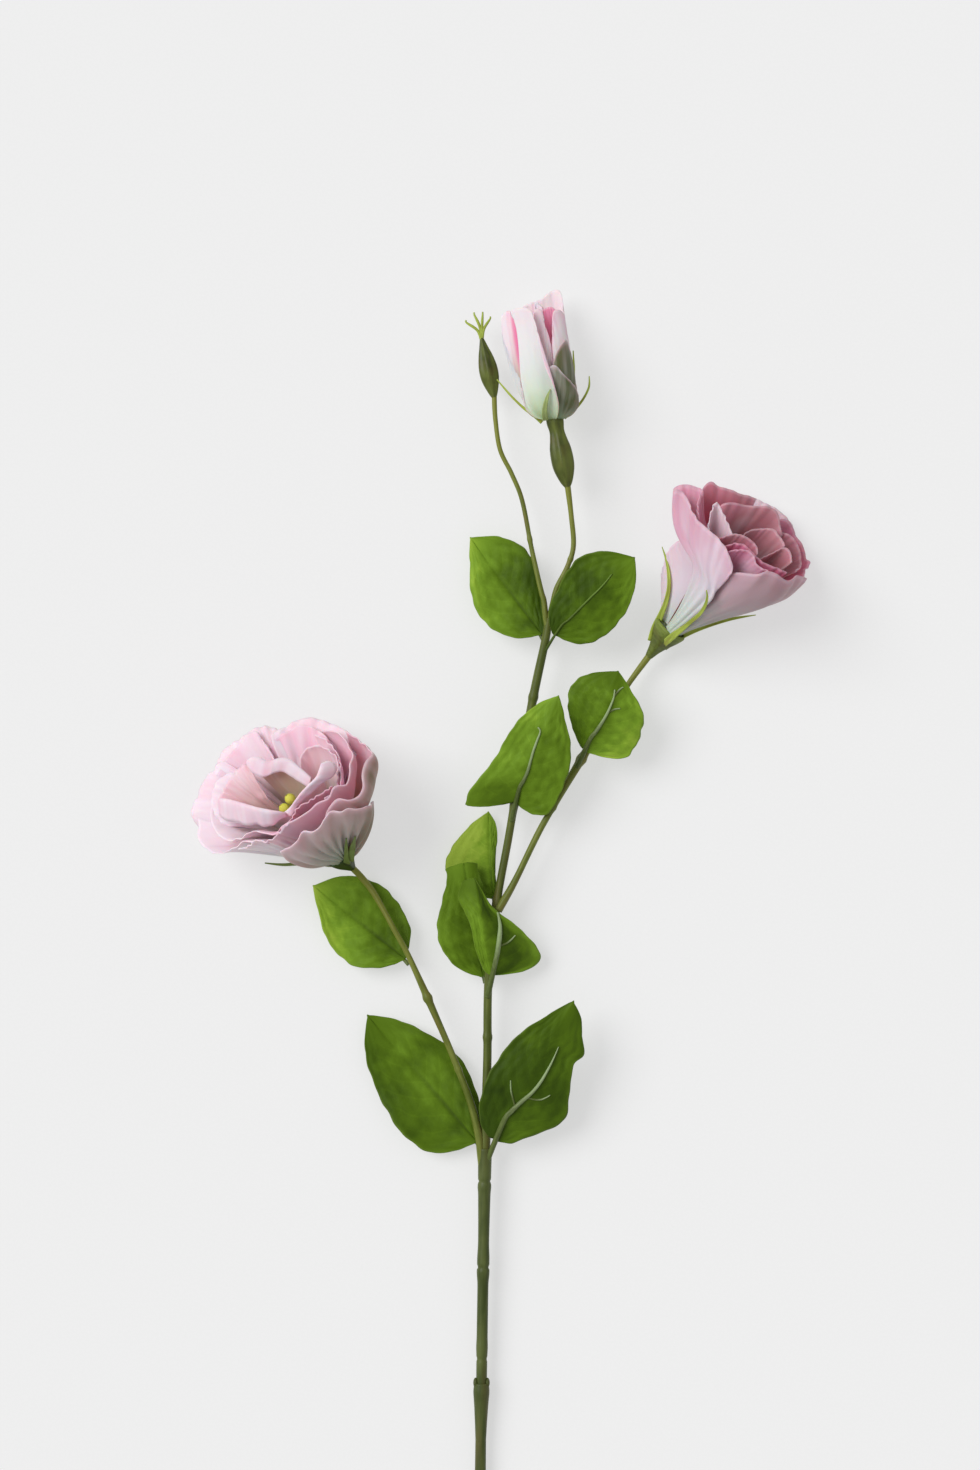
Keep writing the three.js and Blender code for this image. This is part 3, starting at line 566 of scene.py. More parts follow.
def add_collar(shape, path):
    steps = evenly(path, STEM_STEPS)
    share = np.repeat(np.linspace(*COLLAR_SHARES, COLLAR_RINGS), COLLAR_SIDES)
    rod(shape, steps[COLLAR_STEPS], COLLAR_RADII, COLLAR_SIDES, COLLAR_RINGS, along=share)
    for side in (-1, 1):
        knob(shape, steps[KNOB_STEP] + [side * KNOB_REACH, 0.2, 0.3])


def make_stem(name, finish, rings):
    stem = STEMS[name]
    shape = Shape()
    path = from_fork(stem["path"])
    rod(shape, path, stem["radii"], STEM_SIDES, rings, stem["swells"])
    if name == "lower_stem":
        add_collar(shape, path)
    shape.piece(name + "_moulding", finish, [name])
    length = np.linalg.norm(np.diff(evenly(path, 60), axis=0), axis=1).sum()
    print(name, "length", round(float(length)), "mm")


make_stem("lower_stem", main_stem, 320)
make_stem("upper_stem", upper_green, 260)
for branch in ("left_branch", "right_branch", "bud_stem", "top_stem"):
    make_stem(branch, thin_stem, 180)

# %% [markdown]
# ## The cloth of the leaves
# The leaves are green satin, dyed unevenly from a dark green to a yellow green, and pressed so that veins
# stand out a little. The light and shade of their folds and wrinkles is painted into that dye, and the groove
# along the midrib of a leaf's front gets a painted shade. The veins could be an image, but a vein is only a
# repeat of the distance along the blade less the distance from its midrib, so two stored numbers are enough.
# Veins and crumples fade out towards the base and the tip, where they would crowd together.

# %% The cloth of the leaves
VEIN_COUNT = 8.0
VEIN_SLANT = 2.6
LEAF_CLOUDS = 48.0
LEAF_WEAVE = 1500.0
LEAF_CREASE_SHADE = (0.030, 0.055, 0.004)
LEAF_EDGE = (0.24, 0.34, 0.06)
LEAF_DYE = (
    (0.0, (0.021, 0.044, 0.001)), (0.25, (0.046, 0.090, 0.002)), (0.5, (0.098, 0.180, 0.006)),
    (0.75, (0.168, 0.300, 0.018)), (0.88, (0.245, 0.400, 0.030)), (1.0, (0.360, 0.510, 0.055)),
)


def leaf_finish():
    """Green satin dyed unevenly: the stored tone says how light the dye and its painted light and shade are
    at each place.
    """
    finish = Finish("leaf_cloth", Roughness=0.55, Specular_IOR_Level=0.11, Sheen_Weight=0.03,
                    Sheen_Roughness=0.5)
    along, across, inside, tone = (finish.measure(key) for key in ("along", "across", "inside", "tone"))
    off = finish.sum("ABSOLUTE", across)
    wander = finish.noise(finish.vector(along * 3.0, off * 2.0, 1.7), 1.0)
    count = along * VEIN_COUNT - off * VEIN_SLANT + wander * 0.9
    wave = finish.sum("PINGPONG", count, 0.5) * 2.0
    vein = (1 - finish.step(wave, 0.0, 0.2)) * finish.step(1 - off, 0.0, 0.3)
    cloud = finish.noise(finish.place(), LEAF_CLOUDS)
    crumple = finish.noise(finish.vector(along * 9.0, across * 3.0, tone * 2.0), 1.0, 3.0)
    calm = finish.step(along, 0.0, 0.15) * (1 - finish.step(along, 0.70, 0.95))
    # The crumple term paints the light and shade of the wrinkles into the dye.
    light = tone + (cloud - 0.5) * 0.48 + (crumple - 0.5) * calm * 0.50 + vein * calm * 0.04
    colour = finish.ramp(light, LEAF_DYE)
    # Painted shade in the groove of the midrib, on the face that shows the leaf's front.
    crease_shade = (1 - finish.step(off, 0.0, 0.10)) * (1 - finish.step(along, 0.2, 0.85)) * inside
    colour = finish.mix(crease_shade * 0.5, colour, LEAF_CREASE_SHADE)
    colour = finish.mix(finish.step(off, 0.94, 1.0) * 0.25, colour, LEAF_EDGE)
    finish.paint("Base Color", colour)
    weave = finish.noise(finish.place(), LEAF_WEAVE, 1.0)
    finish.bump(wave * calm * 0.12 + (crumple - 0.5) * calm * 1.2 + weave * 0.05, 0.34, 0.0014)
    return finish


leaf_cloth = leaf_finish()
print("leaf finish ready")

# %% [markdown]
# ## Patterns of the leaves
# Ten leaves are cut from cloth, and a dressmaker would give each as a pattern: half-widths at even steps
# from base to tip, left and right of the midrib. To that come the point where its rib leaves the stem, how
# steeply each half rises in degrees, how far the blade arches, and how light its dye is with the light and
# shade of its folds painted in: rows from its left edge to its right one, each from base to tip. A leaf that
# shows its back also has the seen line of its rib and of the side veins. One leaf scaled ten times would be
# quicker, but no two lie alike.

# %% Patterns of the leaves
LEAVES = {
    "a": dict(root=[-2.2, 0.8, 5.7], base=[-3.5, 3.5, 6.2], tip=[-51, 58, 4.5],
              left=[4, 17.5, 22, 21, 17.5, 11.5, 0], right=[3, 10.5, 16, 18, 15, 9.5, 0], rise=[6, 2],
              arch=-1, wave=0.8, phase=0.1,
              dye_and_shading=[[0.50, 0.30, 0.40], [0.40, 0.56, 0.40], [0.32, 0.42, 0.40]]),
    "b": dict(root=[0.8, -5, 9.8], base=[3.4, 5.4, 12.6], tip=[38, 65.5, 24],
              left=[5, 12, 15.4, 15.3, 13, 7, 0],
              right=[5.5, 9.5, 13.5, 18.5, 22.4, 22.6, 19.3, 16.4, 14.5, 15.7, 11.2, 6.0, 0],
              rise=[-2, -14], arch=4, wave=0.8, phase=0.3, back=True,
              dye_and_shading=[[0.10, 0.20, 0.36], [0.15, 0.22, 0.52], [0.30, 0.26, 0.32]],
              rib=[[6, 10], [9.3, 15], [13.6, 20], [20.8, 26.5], [25.3, 32.9], [29.4, 40.8], [31.5, 45.8]],
              thick=[1.2, 1.2, 1.1, 0.8, 0.55, 0.2],
              veins=[[[13, 19.6], [11.2, 26.5], [11, 32.9]], [[17.9, 23.6], [23.7, 22.6], [29.4, 25.4]]]),
    "c": dict(root=[-33, 80, 9], base=[-34.5, 82.5, 8.8], tip=[-74.5, 114, 5],
              left=[2, 10, 16, 16.5, 13.5, 7, 0], right=[2, 11.5, 16, 18.3, 17, 12, 0], rise=[6, -4],
              arch=-1, wave=0.5, phase=0.4,
              dye_and_shading=[[0.55, 0.85, 0.95], [0.30, 0.55, 0.95], [0.38, 0.55, 0.80]]),
    "d": dict(root=[0, 72, 8.1], base=[-0.7, 74.5, 8], tip=[-9, 124, 11],
              left=[2, 10.5, 15.5, 16.3, 13.2, 9.3, 4.6], right=[2, 5, 6, 7, 7, 6, 3], rise=[4, 0], arch=0,
              wave=0.4, phase=0.2, dye_and_shading=[[0.58, 0.62, 0.56], [0.36, 0.36, 0.66], [0.30, 0.30, 0.44]]),
    "e": dict(root=[4.4, 103, 9], base=[3.6, 108.3, 5.8], tip=[1.5, 146, 4],
              left=[2, 14, 19, 19.5, 15.5, 9, 0], right=[1, 1.5, 1.5, 2, 3, 3, 0], rise=[0, 4], arch=0,
              wave=0.3, phase=0.7, dye_and_shading=[[0.90, 1.08, 1.0], [0.56, 0.80, 0.84], [0.20, 0.34, 0.86]]),
    "f": dict(root=[1.0, 66, 11.6], base=[2.6, 76, 14.2], tip=[-4.6, 118, 20],
              left=[2, 4.0, 5.2, 5.2, 6.8, 8.8, 3.0], right=[10, 24, 21.5, 14.5, 6.5, 3, 0],
              rise=[-22, -24], arch=3, wave=0.4, phase=0.7, back=True,
              dye_and_shading=[[0.66, 0.55, 0.40], [0.66, 0.58, 0.44], [0.58, 0.52, 0.40], [0.14, 0.14, 0.25],
                     [0.74, 0.76, 0.46]],
              rib=[[4.6, 82], [5.7, 88.1], [6.5, 96.7], [5.4, 103]], thick=[1.3, 1.2, 1.1, 1.0, 0.4],
              veins=[[[6, 88.6], [10, 90], [14, 94]]]),
    "g": dict(root=[11.4, 142, 13.4], base=[13.2, 150.5, 15.8], tip=[31.5, 196, 26],
              left=[20, 20, 16, 14.4, 12.5, 8, 0], right=[6, 15, 16.4, 16, 12.5, 6.2, 0], rise=[-8, -5],
              arch=4, wave=0.7, phase=0.5, back=True, sweep=0.7,
              dye_and_shading=[[0.60, 0.76, 0.84], [0.44, 0.72, 0.72], [0.54, 0.56, 0.60], [0.54, 0.56, 0.58],
                     [0.54, 0.64, 0.50]],
              rib=[[13.4, 153], [15.1, 156.9], [17.9, 162.6], [20.8, 172.7], [23.6, 180.6], [23.6, 183.4],
                   [22.6, 182.4]], thick=[1.1, 1.0, 0.9, 0.7, 0.55, 0.5, 0.3], veins=[]),
    "h": dict(root=[39.4, 165, 14], base=[43.5, 172, 16.1], tip=[57, 206.5, 24],
              left=[2, 7, 12, 15.5, 16.5, 12, 0], right=[3, 16, 19.3, 19.2, 17, 9, 0], rise=[-8, -12],
              arch=3, wave=0.5, phase=0.1, back=True,
              dye_and_shading=[[0.50, 0.54, 0.44], [0.62, 0.52, 0.44], [0.88, 0.88, 0.56]],
              rib=[[43.7, 175.5], [48, 181.3], [52.3, 188.4], [55.2, 195.6], [55.5, 198.5]],
              thick=[1.2, 1.1, 0.9, 0.7, 0.5, 0.3],
              veins=[[[55.2, 195.6], [57.6, 198.6], [60, 200]],
                     [[52.3, 188.4], [55.6, 190.2], [58.8, 190.4]]]),
    "i": dict(root=[25.2, 219.5, 12], base=[24.5, 222.5, 12.2], tip=[-6.5, 264.5, 7],
              left=[2, 11, 16, 16.6, 13, 6.5, 0], right=[2, 6, 11, 15.3, 16, 11.5, 0], rise=[4, 4], arch=-1,
              wave=0.5, phase=0.6, dye_and_shading=[[0.55, 0.88, 0.92], [0.30, 0.48, 0.85], [0.14, 0.24, 0.70]]),
    "j": dict(root=[25.7, 215, 15.6], base=[29.2, 222.5, 18.2], tip=[64, 255, 26],
              left=[2, 9, 12.5, 15.5, 16, 11, 0], right=[2, 11.5, 15.7, 16, 14, 9, 0], rise=[-4, -12],
              arch=3, wave=0.5, phase=0.9, back=True,
              dye_and_shading=[[0.14, 0.24, 0.46], [0.18, 0.32, 0.60], [0.38, 0.58, 0.66]],
              rib=[[30.1, 223.6], [36.6, 229.3], [44.4, 237.2], [50.2, 242.9], [54.2, 247.9]],
              thick=[0.7, 0.5, 0.4, 0.35, 0.25], veins=[], quiet=True),
}
print("leaf patterns:", len(LEAVES))

# %% [markdown]
# ## The blades
# A blade is folded along its midrib, pressed into shallow veins and a little wrinkled. Cloth simulation
# could drape it, but pressed satin holds its shape, so the points are moved by sums of smooth waves.

# %% The blades
LEAF_ACROSS = 41
LEAF_ALONG = 81
LEAF_CLOTH = 0.4
LEAF_SWEEP = 0.3


def leaf_plan(leaf, t, a, ahead):
    """The blade without its lift, how wide it is at each point and how it narrows at its ends."""
    base, tip = from_fork(leaf["base"]), from_fork(leaf["tip"])
    phase = leaf["phase"]
    aside = np.array([-ahead[1], ahead[0], 0.0])
    ends = np.minimum(1, np.sqrt((t + 0.003) / 0.06)) * np.minimum(1, np.sqrt((1.002 - t) / 0.03))
    half = np.where(a > 0, through(leaf["left"], t[0])[None, :], through(leaf["right"], t[0])[None, :])
    blunt = np.clip((6 * (1.004 - t)) ** -0.32, 1, 1.9)
    notch = 1 + 0.010 * ripple(5.3 * t + phase) + 0.008 * ripple(9.1 * t + 2 * phase)
    width = half * ends * blunt * np.abs(a) * notch
    climb = np.radians(np.where(a > 0, *leaf["rise"]))
    outwards = np.sign(a) * width * np.cos(climb)
    backwards = width * leaf.get("sweep", LEAF_SWEEP) * (1 - t) ** 2
    grid = base + (tip - base) * t[..., None] + np.zeros((LEAF_ACROSS, 1, 1))
    grid = grid + aside * outwards[..., None] - ahead * backwards[..., None]
    return grid, width * np.sin(climb), ends


def leaf_lift(leaf, t, a, ends):
    """How far the arch, the waved edge, the pressed veins and the wrinkles lift the blade."""
    phase = leaf["phase"]
    off = np.abs(a)
    bulge = 4 * t * (1 - t)
    settled = smooth((1 - t) / 0.3) * smooth(t / 0.12)
    edge = leaf["wave"] * off**1.5 * ends * ripple(2.1 * t + 0.35 * np.sign(a) + phase)
    pressed = np.abs(((VEIN_COUNT * t - VEIN_SLANT * off) % 1.0) - 0.5) * 2
    veins = 0.20 * settled * (pressed - 0.5) * smooth((1 - off) / 0.35) * smooth(off / 0.15)
    wrinkle = ripple(3.3 * t + 1.7 * a + phase) * ripple(1.9 * t - 2.3 * a + 3 * phase)
    midrib = 0.5 * np.exp(-((a / 0.06) ** 2)) * (0 if leaf.get("back") else 1)
    sway = 0.5 * ripple(0.9 * t + 0.7 * a + 2 * phase) * off * bulge
    return leaf["arch"] * bulge + edge + veins + 0.35 * settled * wrinkle * off - midrib + sway


def leaf_grid(leaf):
    """The blade's middle surface: points across it by points along it."""
    t = np.linspace(0, 1, LEAF_ALONG)[None, :]
    a = np.linspace(-1, 1, LEAF_ACROSS)[:, None]
    way = np.subtract(leaf["tip"], leaf["base"])
    ahead = unit(np.array([way[0], way[1], 0.0]))
    grid, rise, ends = leaf_plan(leaf, t, a, ahead)
    grid[..., 2] = grid[..., 2] + rise + leaf_lift(leaf, t, a, ends)
    return grid, t, a


def make_blade(key, leaf):
    grid, t, a = leaf_grid(leaf)
    # The tones are the leaf's dye with painted light and shade of its folds.
    rows = np.array([through(row, t[0]) for row in reversed(leaf["dye_and_shading"])])
    tone = np.stack([through(column, (a[:, 0] + 1) / 2) for column in rows.T], 1)
    back = float(leaf.get("back", False))
    shape = Shape()
    cloth(shape, grid, LEAF_CLOTH, along=t, across=a, inside=back, tone=tone)
    shape.piece(f"leaf_{key}_cloth", leaf_cloth, [f"leaf_{key}"])
    print("leaf", key, "heights", grid[..., 2].min().round(1), "to", grid[..., 2].max().round(1), "mm")
    return grid


print("each blade has", LEAF_ACROSS, "by", LEAF_ALONG, "points")

# %% [markdown]
# ## Ribs of the leaves
# Each leaf hangs on a moulded rib that leaves the stem. Where the leaf shows its back, the rib lies on top,
# tapers and throws out side veins; elsewhere it runs under the blade. A shrinkwrap could lay it on the
# cloth, but the blade's own points already tell its height, so the rib's line is lifted to them.

# %% Ribs of the leaves
RIB_LIFT = 0.55
VEIN_LIFT = 0.3
RIB_UNDER = 0.95
VEIN_RADII = [0.5, 0.4, 0.25]
HIDDEN_RIB_RADII = [0.85, 0.8, 0.7, 0.5]
NEAR_ENOUGH = 1.2


def on_blade(points, grid, lift):
    """Points given on the plan, raised to the blade's own height there and a little more."""
    plan = evenly([from_fork([x, y, 0]) for x, y in points], 24)
    blade = grid.reshape(-1, 3)
    for point in plan:
        gap = np.hypot(*(blade[:, :2] - point[:2]).T)
        weight = np.exp(-((gap / NEAR_ENOUGH) ** 2)) + 1e-12
        point[2] = (blade[:, 2] * weight).sum() / weight.sum() + lift
    return plan


def make_leaf_rib(key, leaf, grid):
    shape = Shape()
    root = from_fork(leaf["root"])
    if leaf.get("back"):
        path = on_blade(leaf["rib"], grid, RIB_LIFT)
        rod(shape, [root, *path[2::3]], leaf["thick"], 14, 70)
        for vein in leaf["veins"]:
            rod(shape, on_blade(vein, grid, VEIN_LIFT)[::4], VEIN_RADII, 8, 24)
    else:
        middle = grid[LEAF_ACROSS // 2] - UPWARDS * RIB_UNDER
        rod(shape, [root, *middle[6:58:6]], HIDDEN_RIB_RADII, 12, 60)
    finish = quiet_rib if leaf.get("quiet") else leaf_rib
    shape.piece(f"leaf_{key}_moulded_rib", finish, [f"leaf_{key}_rib"])


for key, leaf in LEAVES.items():
    make_leaf_rib(key, leaf, make_blade(key, leaf))

# %% [markdown]
# ## The cloth of the petals
# Each petal is dyed: mint at its claw, white above, then pink that is deepest inside the cup. Its margin
# gets a pale painted highlight where light catches the cut edge, and painted shade greys the outer faces and
# darkens the inner faces of petals that lie in shade. Painting a texture would fix the dye to one petal. Here
# stored numbers say how far a point is along its petal, which face it is on, how strongly that petal was dyed
# and how much painted shade it takes, and the ramps follow the dye.

# %% The cloth of the petals
PETAL_WEAVE = 1400.0


def petal_finish(name, outer, inner, blush, pale, shade_out, shade_in, streak=1.0):
    """Cloth dyed along two ramps, with painted shade on its faces and a painted highlight on its margin. Its
    dye is above 0 where it is deeper and below 0 where it is paler.
    """
    finish = Finish(name, Roughness=0.6, Subsurface_Weight=0.2, Subsurface_Scale=0.003, Sheen_Weight=0.15,
                    Sheen_Roughness=0.5, Specular_IOR_Level=0.3)
    along, across, inside = (finish.measure(key) for key in ("along", "across", "inside"))
    tone, dye, shade, deep = (finish.measure(key) for key in ("tone", "dye", "shade", "deep"))
    streaks = finish.noise(finish.vector(across * 4.0 + tone * 9.0, along * 1.2, tone * 5.0), 1.0)
    streaks = (streaks - 0.5) * streak + 0.5
    patches = finish.noise(finish.vector(across * 1.9 + tone * 4.0, along * 2.2, tone * 7.0), 1.0)
    place = along + (patches - 0.5) * 0.2
    colour = finish.mix(inside, finish.ramp(place, outer), finish.ramp(place, inner))
    patchy = streaks * 0.45 + patches * 0.55
    high = finish.step(along, 0.3, 0.75)
    deeper = finish.step(patchy + dye * 0.2, 0.44, 0.76) * high
    vivid = finish.step(dye, 1.0, 2.2) * 0.25
    colour = finish.mix(deeper * (vivid + 0.4 + inside * 0.3), colour, blush)
    paler = finish.step(patchy + dye * 0.25, 0.52, 0.28) * high
    colour = finish.mix(paler * 0.7, colour, pale)
    # Painted shade: the stored shade greys the outer face, and the stored inner shade darkens the inner face,
    # most towards the throat. It is weaker at the claw, streaked with the cloth and kept off the margin.
    shade_amount = shade * (1 - inside) + deep * inside * (1.6 - along * 1.1)
    painted_shade = shade_amount * (finish.step(along, 0.05, 0.5) * 0.5 + 0.5)
    grain = 0.82 + (streaks - 0.5) * 0.9
    below_edge = 1 - finish.step(along, 0.9, 1.0) * 0.45
    colour = finish.mix(painted_shade * grain * below_edge, colour, finish.mix(inside, shade_out, shade_in))
    # Painted highlight: a pale line along the margin where light catches the cut edge.
    colour = finish.mix(finish.step(along, 0.966, 0.988) * 0.24, colour, pale)
    finish.paint("Base Color", colour)
    veins = finish.noise(finish.vector(across * 13.0 + tone * 9.0, along * 2.0, tone), 1.0, 3.0)
    weave = finish.noise(finish.place(), PETAL_WEAVE, 1.0)
    finish.bump(veins + weave * 0.2, 0.08 + 0.08 * streak, 0.0005)
    return finish


print("petal finish maker ready")

# %% [markdown]
# ## The dyes of the three blooms
# The left bloom is a light pink, the right one a dusky rose with a dark cup that painted shade deepens, and
# the top one mint and white with pink rims and a pink inside. The dark low stops of the inner ramps are
# partly painted shade in the throat, and each cloth has its own colours of painted shade for its outer and
# inner faces. Three images could hold that, but the same cloth serves all three when only the dye changes,
# from the claw at 0 to the margin at 1.

# %% The dyes of the three blooms
OUTER_DYE = (
    (0.0, (0.26, 0.34, 0.14)), (0.12, (0.42, 0.48, 0.36)), (0.30, (0.62, 0.62, 0.58)),
    (0.55, (0.72, 0.64, 0.64)), (0.80, (0.80, 0.59, 0.65)), (1.0, (0.86, 0.57, 0.67)),
)
# Inner ramp: its olive and beige low stops are partly painted shade of the throat.
INNER_DYE = (
    (0.0, (0.20, 0.22, 0.04)), (0.25, (0.38, 0.34, 0.12)), (0.45, (0.58, 0.45, 0.36)),
    (0.62, (0.78, 0.53, 0.57)), (0.82, (0.87, 0.60, 0.69)), (1.0, (0.90, 0.65, 0.74)),
)
ROSE_OUTER_DYE = (
    (0.0, (0.30, 0.36, 0.20)), (0.12, (0.46, 0.52, 0.42)), (0.34, (0.58, 0.60, 0.57)),
    (0.55, (0.66, 0.58, 0.64)), (0.78, (0.66, 0.46, 0.55)), (1.0, (0.66, 0.38, 0.48)),
)
# Rose inner ramp: its dark low stops are partly painted shade of the cup.
ROSE_DYE = (
    (0.0, (0.14, 0.08, 0.035)), (0.30, (0.19, 0.070, 0.060)), (0.50, (0.26, 0.093, 0.100)),
    (0.70, (0.35, 0.125, 0.150)), (0.88, (0.46, 0.180, 0.220)), (1.0, (0.58, 0.280, 0.330)),
)
TOP_DYE = (
    (0.0, (0.26, 0.36, 0.12)), (0.15, (0.50, 0.62, 0.38)), (0.38, (0.70, 0.76, 0.62)),
    (0.62, (0.76, 0.76, 0.73)), (0.85, (0.82, 0.70, 0.75)), (1.0, (0.84, 0.62, 0.70)),
)
left_cloth = petal_finish(
    "left_petal_cloth", OUTER_DYE, INNER_DYE, blush=(0.86, 0.36, 0.50), pale=(0.91, 0.77, 0.84),
    shade_out=(0.20, 0.165, 0.10), shade_in=(0.49, 0.44, 0.29),
)
right_cloth = petal_finish(
    "right_petal_cloth", ROSE_OUTER_DYE, ROSE_DYE, blush=(0.60, 0.13, 0.27), pale=(0.80, 0.66, 0.74),
    shade_out=(0.26, 0.19, 0.17), shade_in=(0.17, 0.062, 0.062), streak=0.35,
)
top_cloth = petal_finish(
    "top_petal_cloth", TOP_DYE, INNER_DYE, blush=(0.80, 0.17, 0.35), pale=(0.86, 0.80, 0.82),
    shade_out=(0.105, 0.130, 0.052), shade_in=(0.50, 0.42, 0.25),
)
print("petal cloths ready")

# %% [markdown]
# ## A bloom and its veins
# Seen from above, a bloom is a nest of wavy margins. A parametric petal with random waves never shows the
# same nest, so each petal is laid out from its margin: a maker would bend the wire of a petal's edge the
# same way. From a short arc at the foot of the bloom, smooth veins run to every point of the margin,
# first along the bloom's axis and at last in the direction of its curl.

# %% A bloom and its veins
PETAL_CLOTH = 0.38
PETAL_ACROSS = 57
PETAL_ALONG = 37


class Bloom:
    """A bloom's foot, its axis and the spot of the picture where its foot is seen."""

    def __init__(self, foot, bearing, climb, spot):
        self.foot = from_fork(foot)
        bearing, climb = math.radians(bearing), math.radians(climb)
        flat = math.cos(climb)
        self.axis = np.array([flat * math.cos(bearing), flat * math.sin(bearing), math.sin(climb)])
        self.up = unit(UPWARDS - self.axis[2] * self.axis)
        self.side = np.cross(self.axis, self.up)
        self.spot = spot

    def seen(self, points):
        return [seen(self.spot, *point) for point in points]

    def turned(self, points):
        """In which direction from the axis points lie, and at what angle round it."""
        away = points - self.foot
        out = away - (away @ self.axis)[..., None] * self.axis
        return unit(out), np.arctan2(out @ self.side, out @ self.up)


def spread(values, share):
    """One value for the whole petal, or several that are spread smoothly over its width."""
    if np.ndim(values) == 0:
        return np.full(np.shape(share), float(values))
    return through(values, share)


def bent(t, *ends):
    """Smooth paths from one row of points to another, given the rows start, leaving, arriving and finish."""
    start, leaving, arriving, finish_at = (rows[:, None, :] for rows in ends)
    return (
        (2 * t**3 - 3 * t**2 + 1) * start + (t**3 - 2 * t**2 + t) * leaving
        + (3 * t**2 - 2 * t**3) * finish_at + (t**3 - t**2) * arriving
    )


def veins_to(bloom, rim, start, end, leave, arrive, root, seat, narrow):
    """Veins from the foot of the bloom to a smooth margin; start and end are their leans from the axis."""
    out, angle = bloom.turned(rim)
    angle = np.unwrap(angle)
    middle = angle[PETAL_ACROSS // 2]
    angle = middle + (angle - middle) * narrow
    root_out = np.cos(angle)[:, None] * bloom.up + np.sin(angle)[:, None] * bloom.side
    foot = bloom.foot + seat * bloom.axis + root * root_out
    chord = np.linalg.norm(rim - foot, axis=1, keepdims=True)
    share = np.linspace(0, 1, PETAL_ACROSS)
    lean, curl = (np.radians(spread(angles, share))[:, None] for angles in (start, end))
    first = leave * chord * (np.cos(lean) * bloom.axis + np.sin(lean) * root_out)
    last = arrive * chord * (np.cos(curl) * bloom.axis + np.sin(curl) * out)
    return foot, first, last, root_out


print("each petal has", PETAL_ACROSS, "veins of", PETAL_ALONG, "points")

# %% [markdown]
# ## One petal
# A petal is a sheet between its veins. Some petals roll over a crest first and show their backs; some are
# pulled to a side line that the picture shows. Then come the pleats of the heat press and the frill of
# the cut edge. Sculpting would do it too, but not the same way twice.

# %% One petal
TABLE_GAP = 0.35
LEAST_GAP = 0.2
CLAW = slice(8, 20)


def rolled(veins, rim, ridge, t, arrive, lip):
    """Veins that rise to a ridge, roll over it and fall to the margin; lip is where the ridge is."""
    foot, first, last = veins
    fall = np.linalg.norm(rim - ridge, axis=1, keepdims=True)
    rising = UPWARDS * arrive * np.linalg.norm(last, axis=1, keepdims=True)
    falling = (rim - ridge) * 1.2 - UPWARDS * fall * 0.5
    body = bent(t / lip, foot, first, rising, ridge)
    over = bent((t - lip) / (1 - lip), ridge, UPWARDS * fall * 1.4, falling, rim)
    return np.where(t < lip, body, over)


def above_table(grid):
    """Presses what would sink into the table softly on to it."""
    height = grid[..., 2]
    low = TABLE_GAP + 0.6 * np.exp(np.minimum((height - TABLE_GAP) / 1.5, 0)) - 0.6
    grid[..., 2] = np.where(height < TABLE_GAP, np.maximum(low, LEAST_GAP), height)
    return grid


def petal_grid(bloom, phase, margin, crest=None, first_side=None, last_side=None, start=12, end=40,
               leave=0.9, arrive=0.6, pleat=0.0, pleats=5, root=1.8, seat=4.0, narrow=0.75, frill=0.5,
               lip=0.8, grip=(2.0, 2.0)):
    """A petal's middle surface from its seen margin, its sides, and the crest that it rolls over, if any."""
    rim = evenly(bloom.seen(margin), PETAL_ACROSS)
    s = np.linspace(-1, 1, PETAL_ACROSS)
    t = np.linspace(0, 1, PETAL_ALONG)[None, :, None]
    if crest is None:
        calm = np.stack([np.polyval(np.polyfit(s, rim[:, k], 4), s) for k in range(3)], 1)
        *veins, root_out = veins_to(bloom, calm, start, end, leave, arrive, root, seat, narrow)
        grid = bent(t, *veins, calm) + (rim - calm)[:, None, :] * t**3.5
    else:
        ridge = evenly(bloom.seen(crest), PETAL_ACROSS)
        *veins, root_out = veins_to(bloom, ridge, start, end, leave, arrive, root, seat, narrow)
        grid = rolled(veins, rim, ridge, t, arrive, lip)
    for side, edge, away, hold in ((first_side, 0, 1 - s, grip[0]), (last_side, -1, 1 + s, grip[1])):
        if side is not None:
            path = evenly([grid[edge, 0], *bloom.seen(side), grid[edge, -1]], PETAL_ALONG)
            grid = grid + (path - grid[edge])[None] * ((away / 2) ** hold)[:, None, None]
    normal = facings(grid)
    facing = 1.0 if (normal[:, CLAW] * root_out[:, None, :]).sum() > 0 else -1.0
    across = s[:, None, None]
    soft = pleat * ripple(pleats * across / 2 + phase) * np.sin(math.pi * np.clip(t * 1.05, 0, 1)) ** 1.5
    fine = ripple(2.3 * across + 2 * phase) * ripple(1.4 * across + phase) + 0.4 * ripple(5.2 * across)
    return above_table(grid + facing * normal * (soft + frill * fine * t**7)), facing


print("petal maker ready")

# %% [markdown]
# ## A whole bloom
# All the petals of a bloom are one piece, as they are held together at their claws. Each could be a piece
# of its own, but one is enough for the finish, since each petal's tone and dye are stored on its points.

# %% A whole bloom
PHASE_STEP = 0.37
TONE_STEP = 2.4
TONE_START = 0.6
# dye is the petal's own colour; the two shade numbers are painted shade, outside and inside.
LOOKS = ("dye", "shade", "deep")


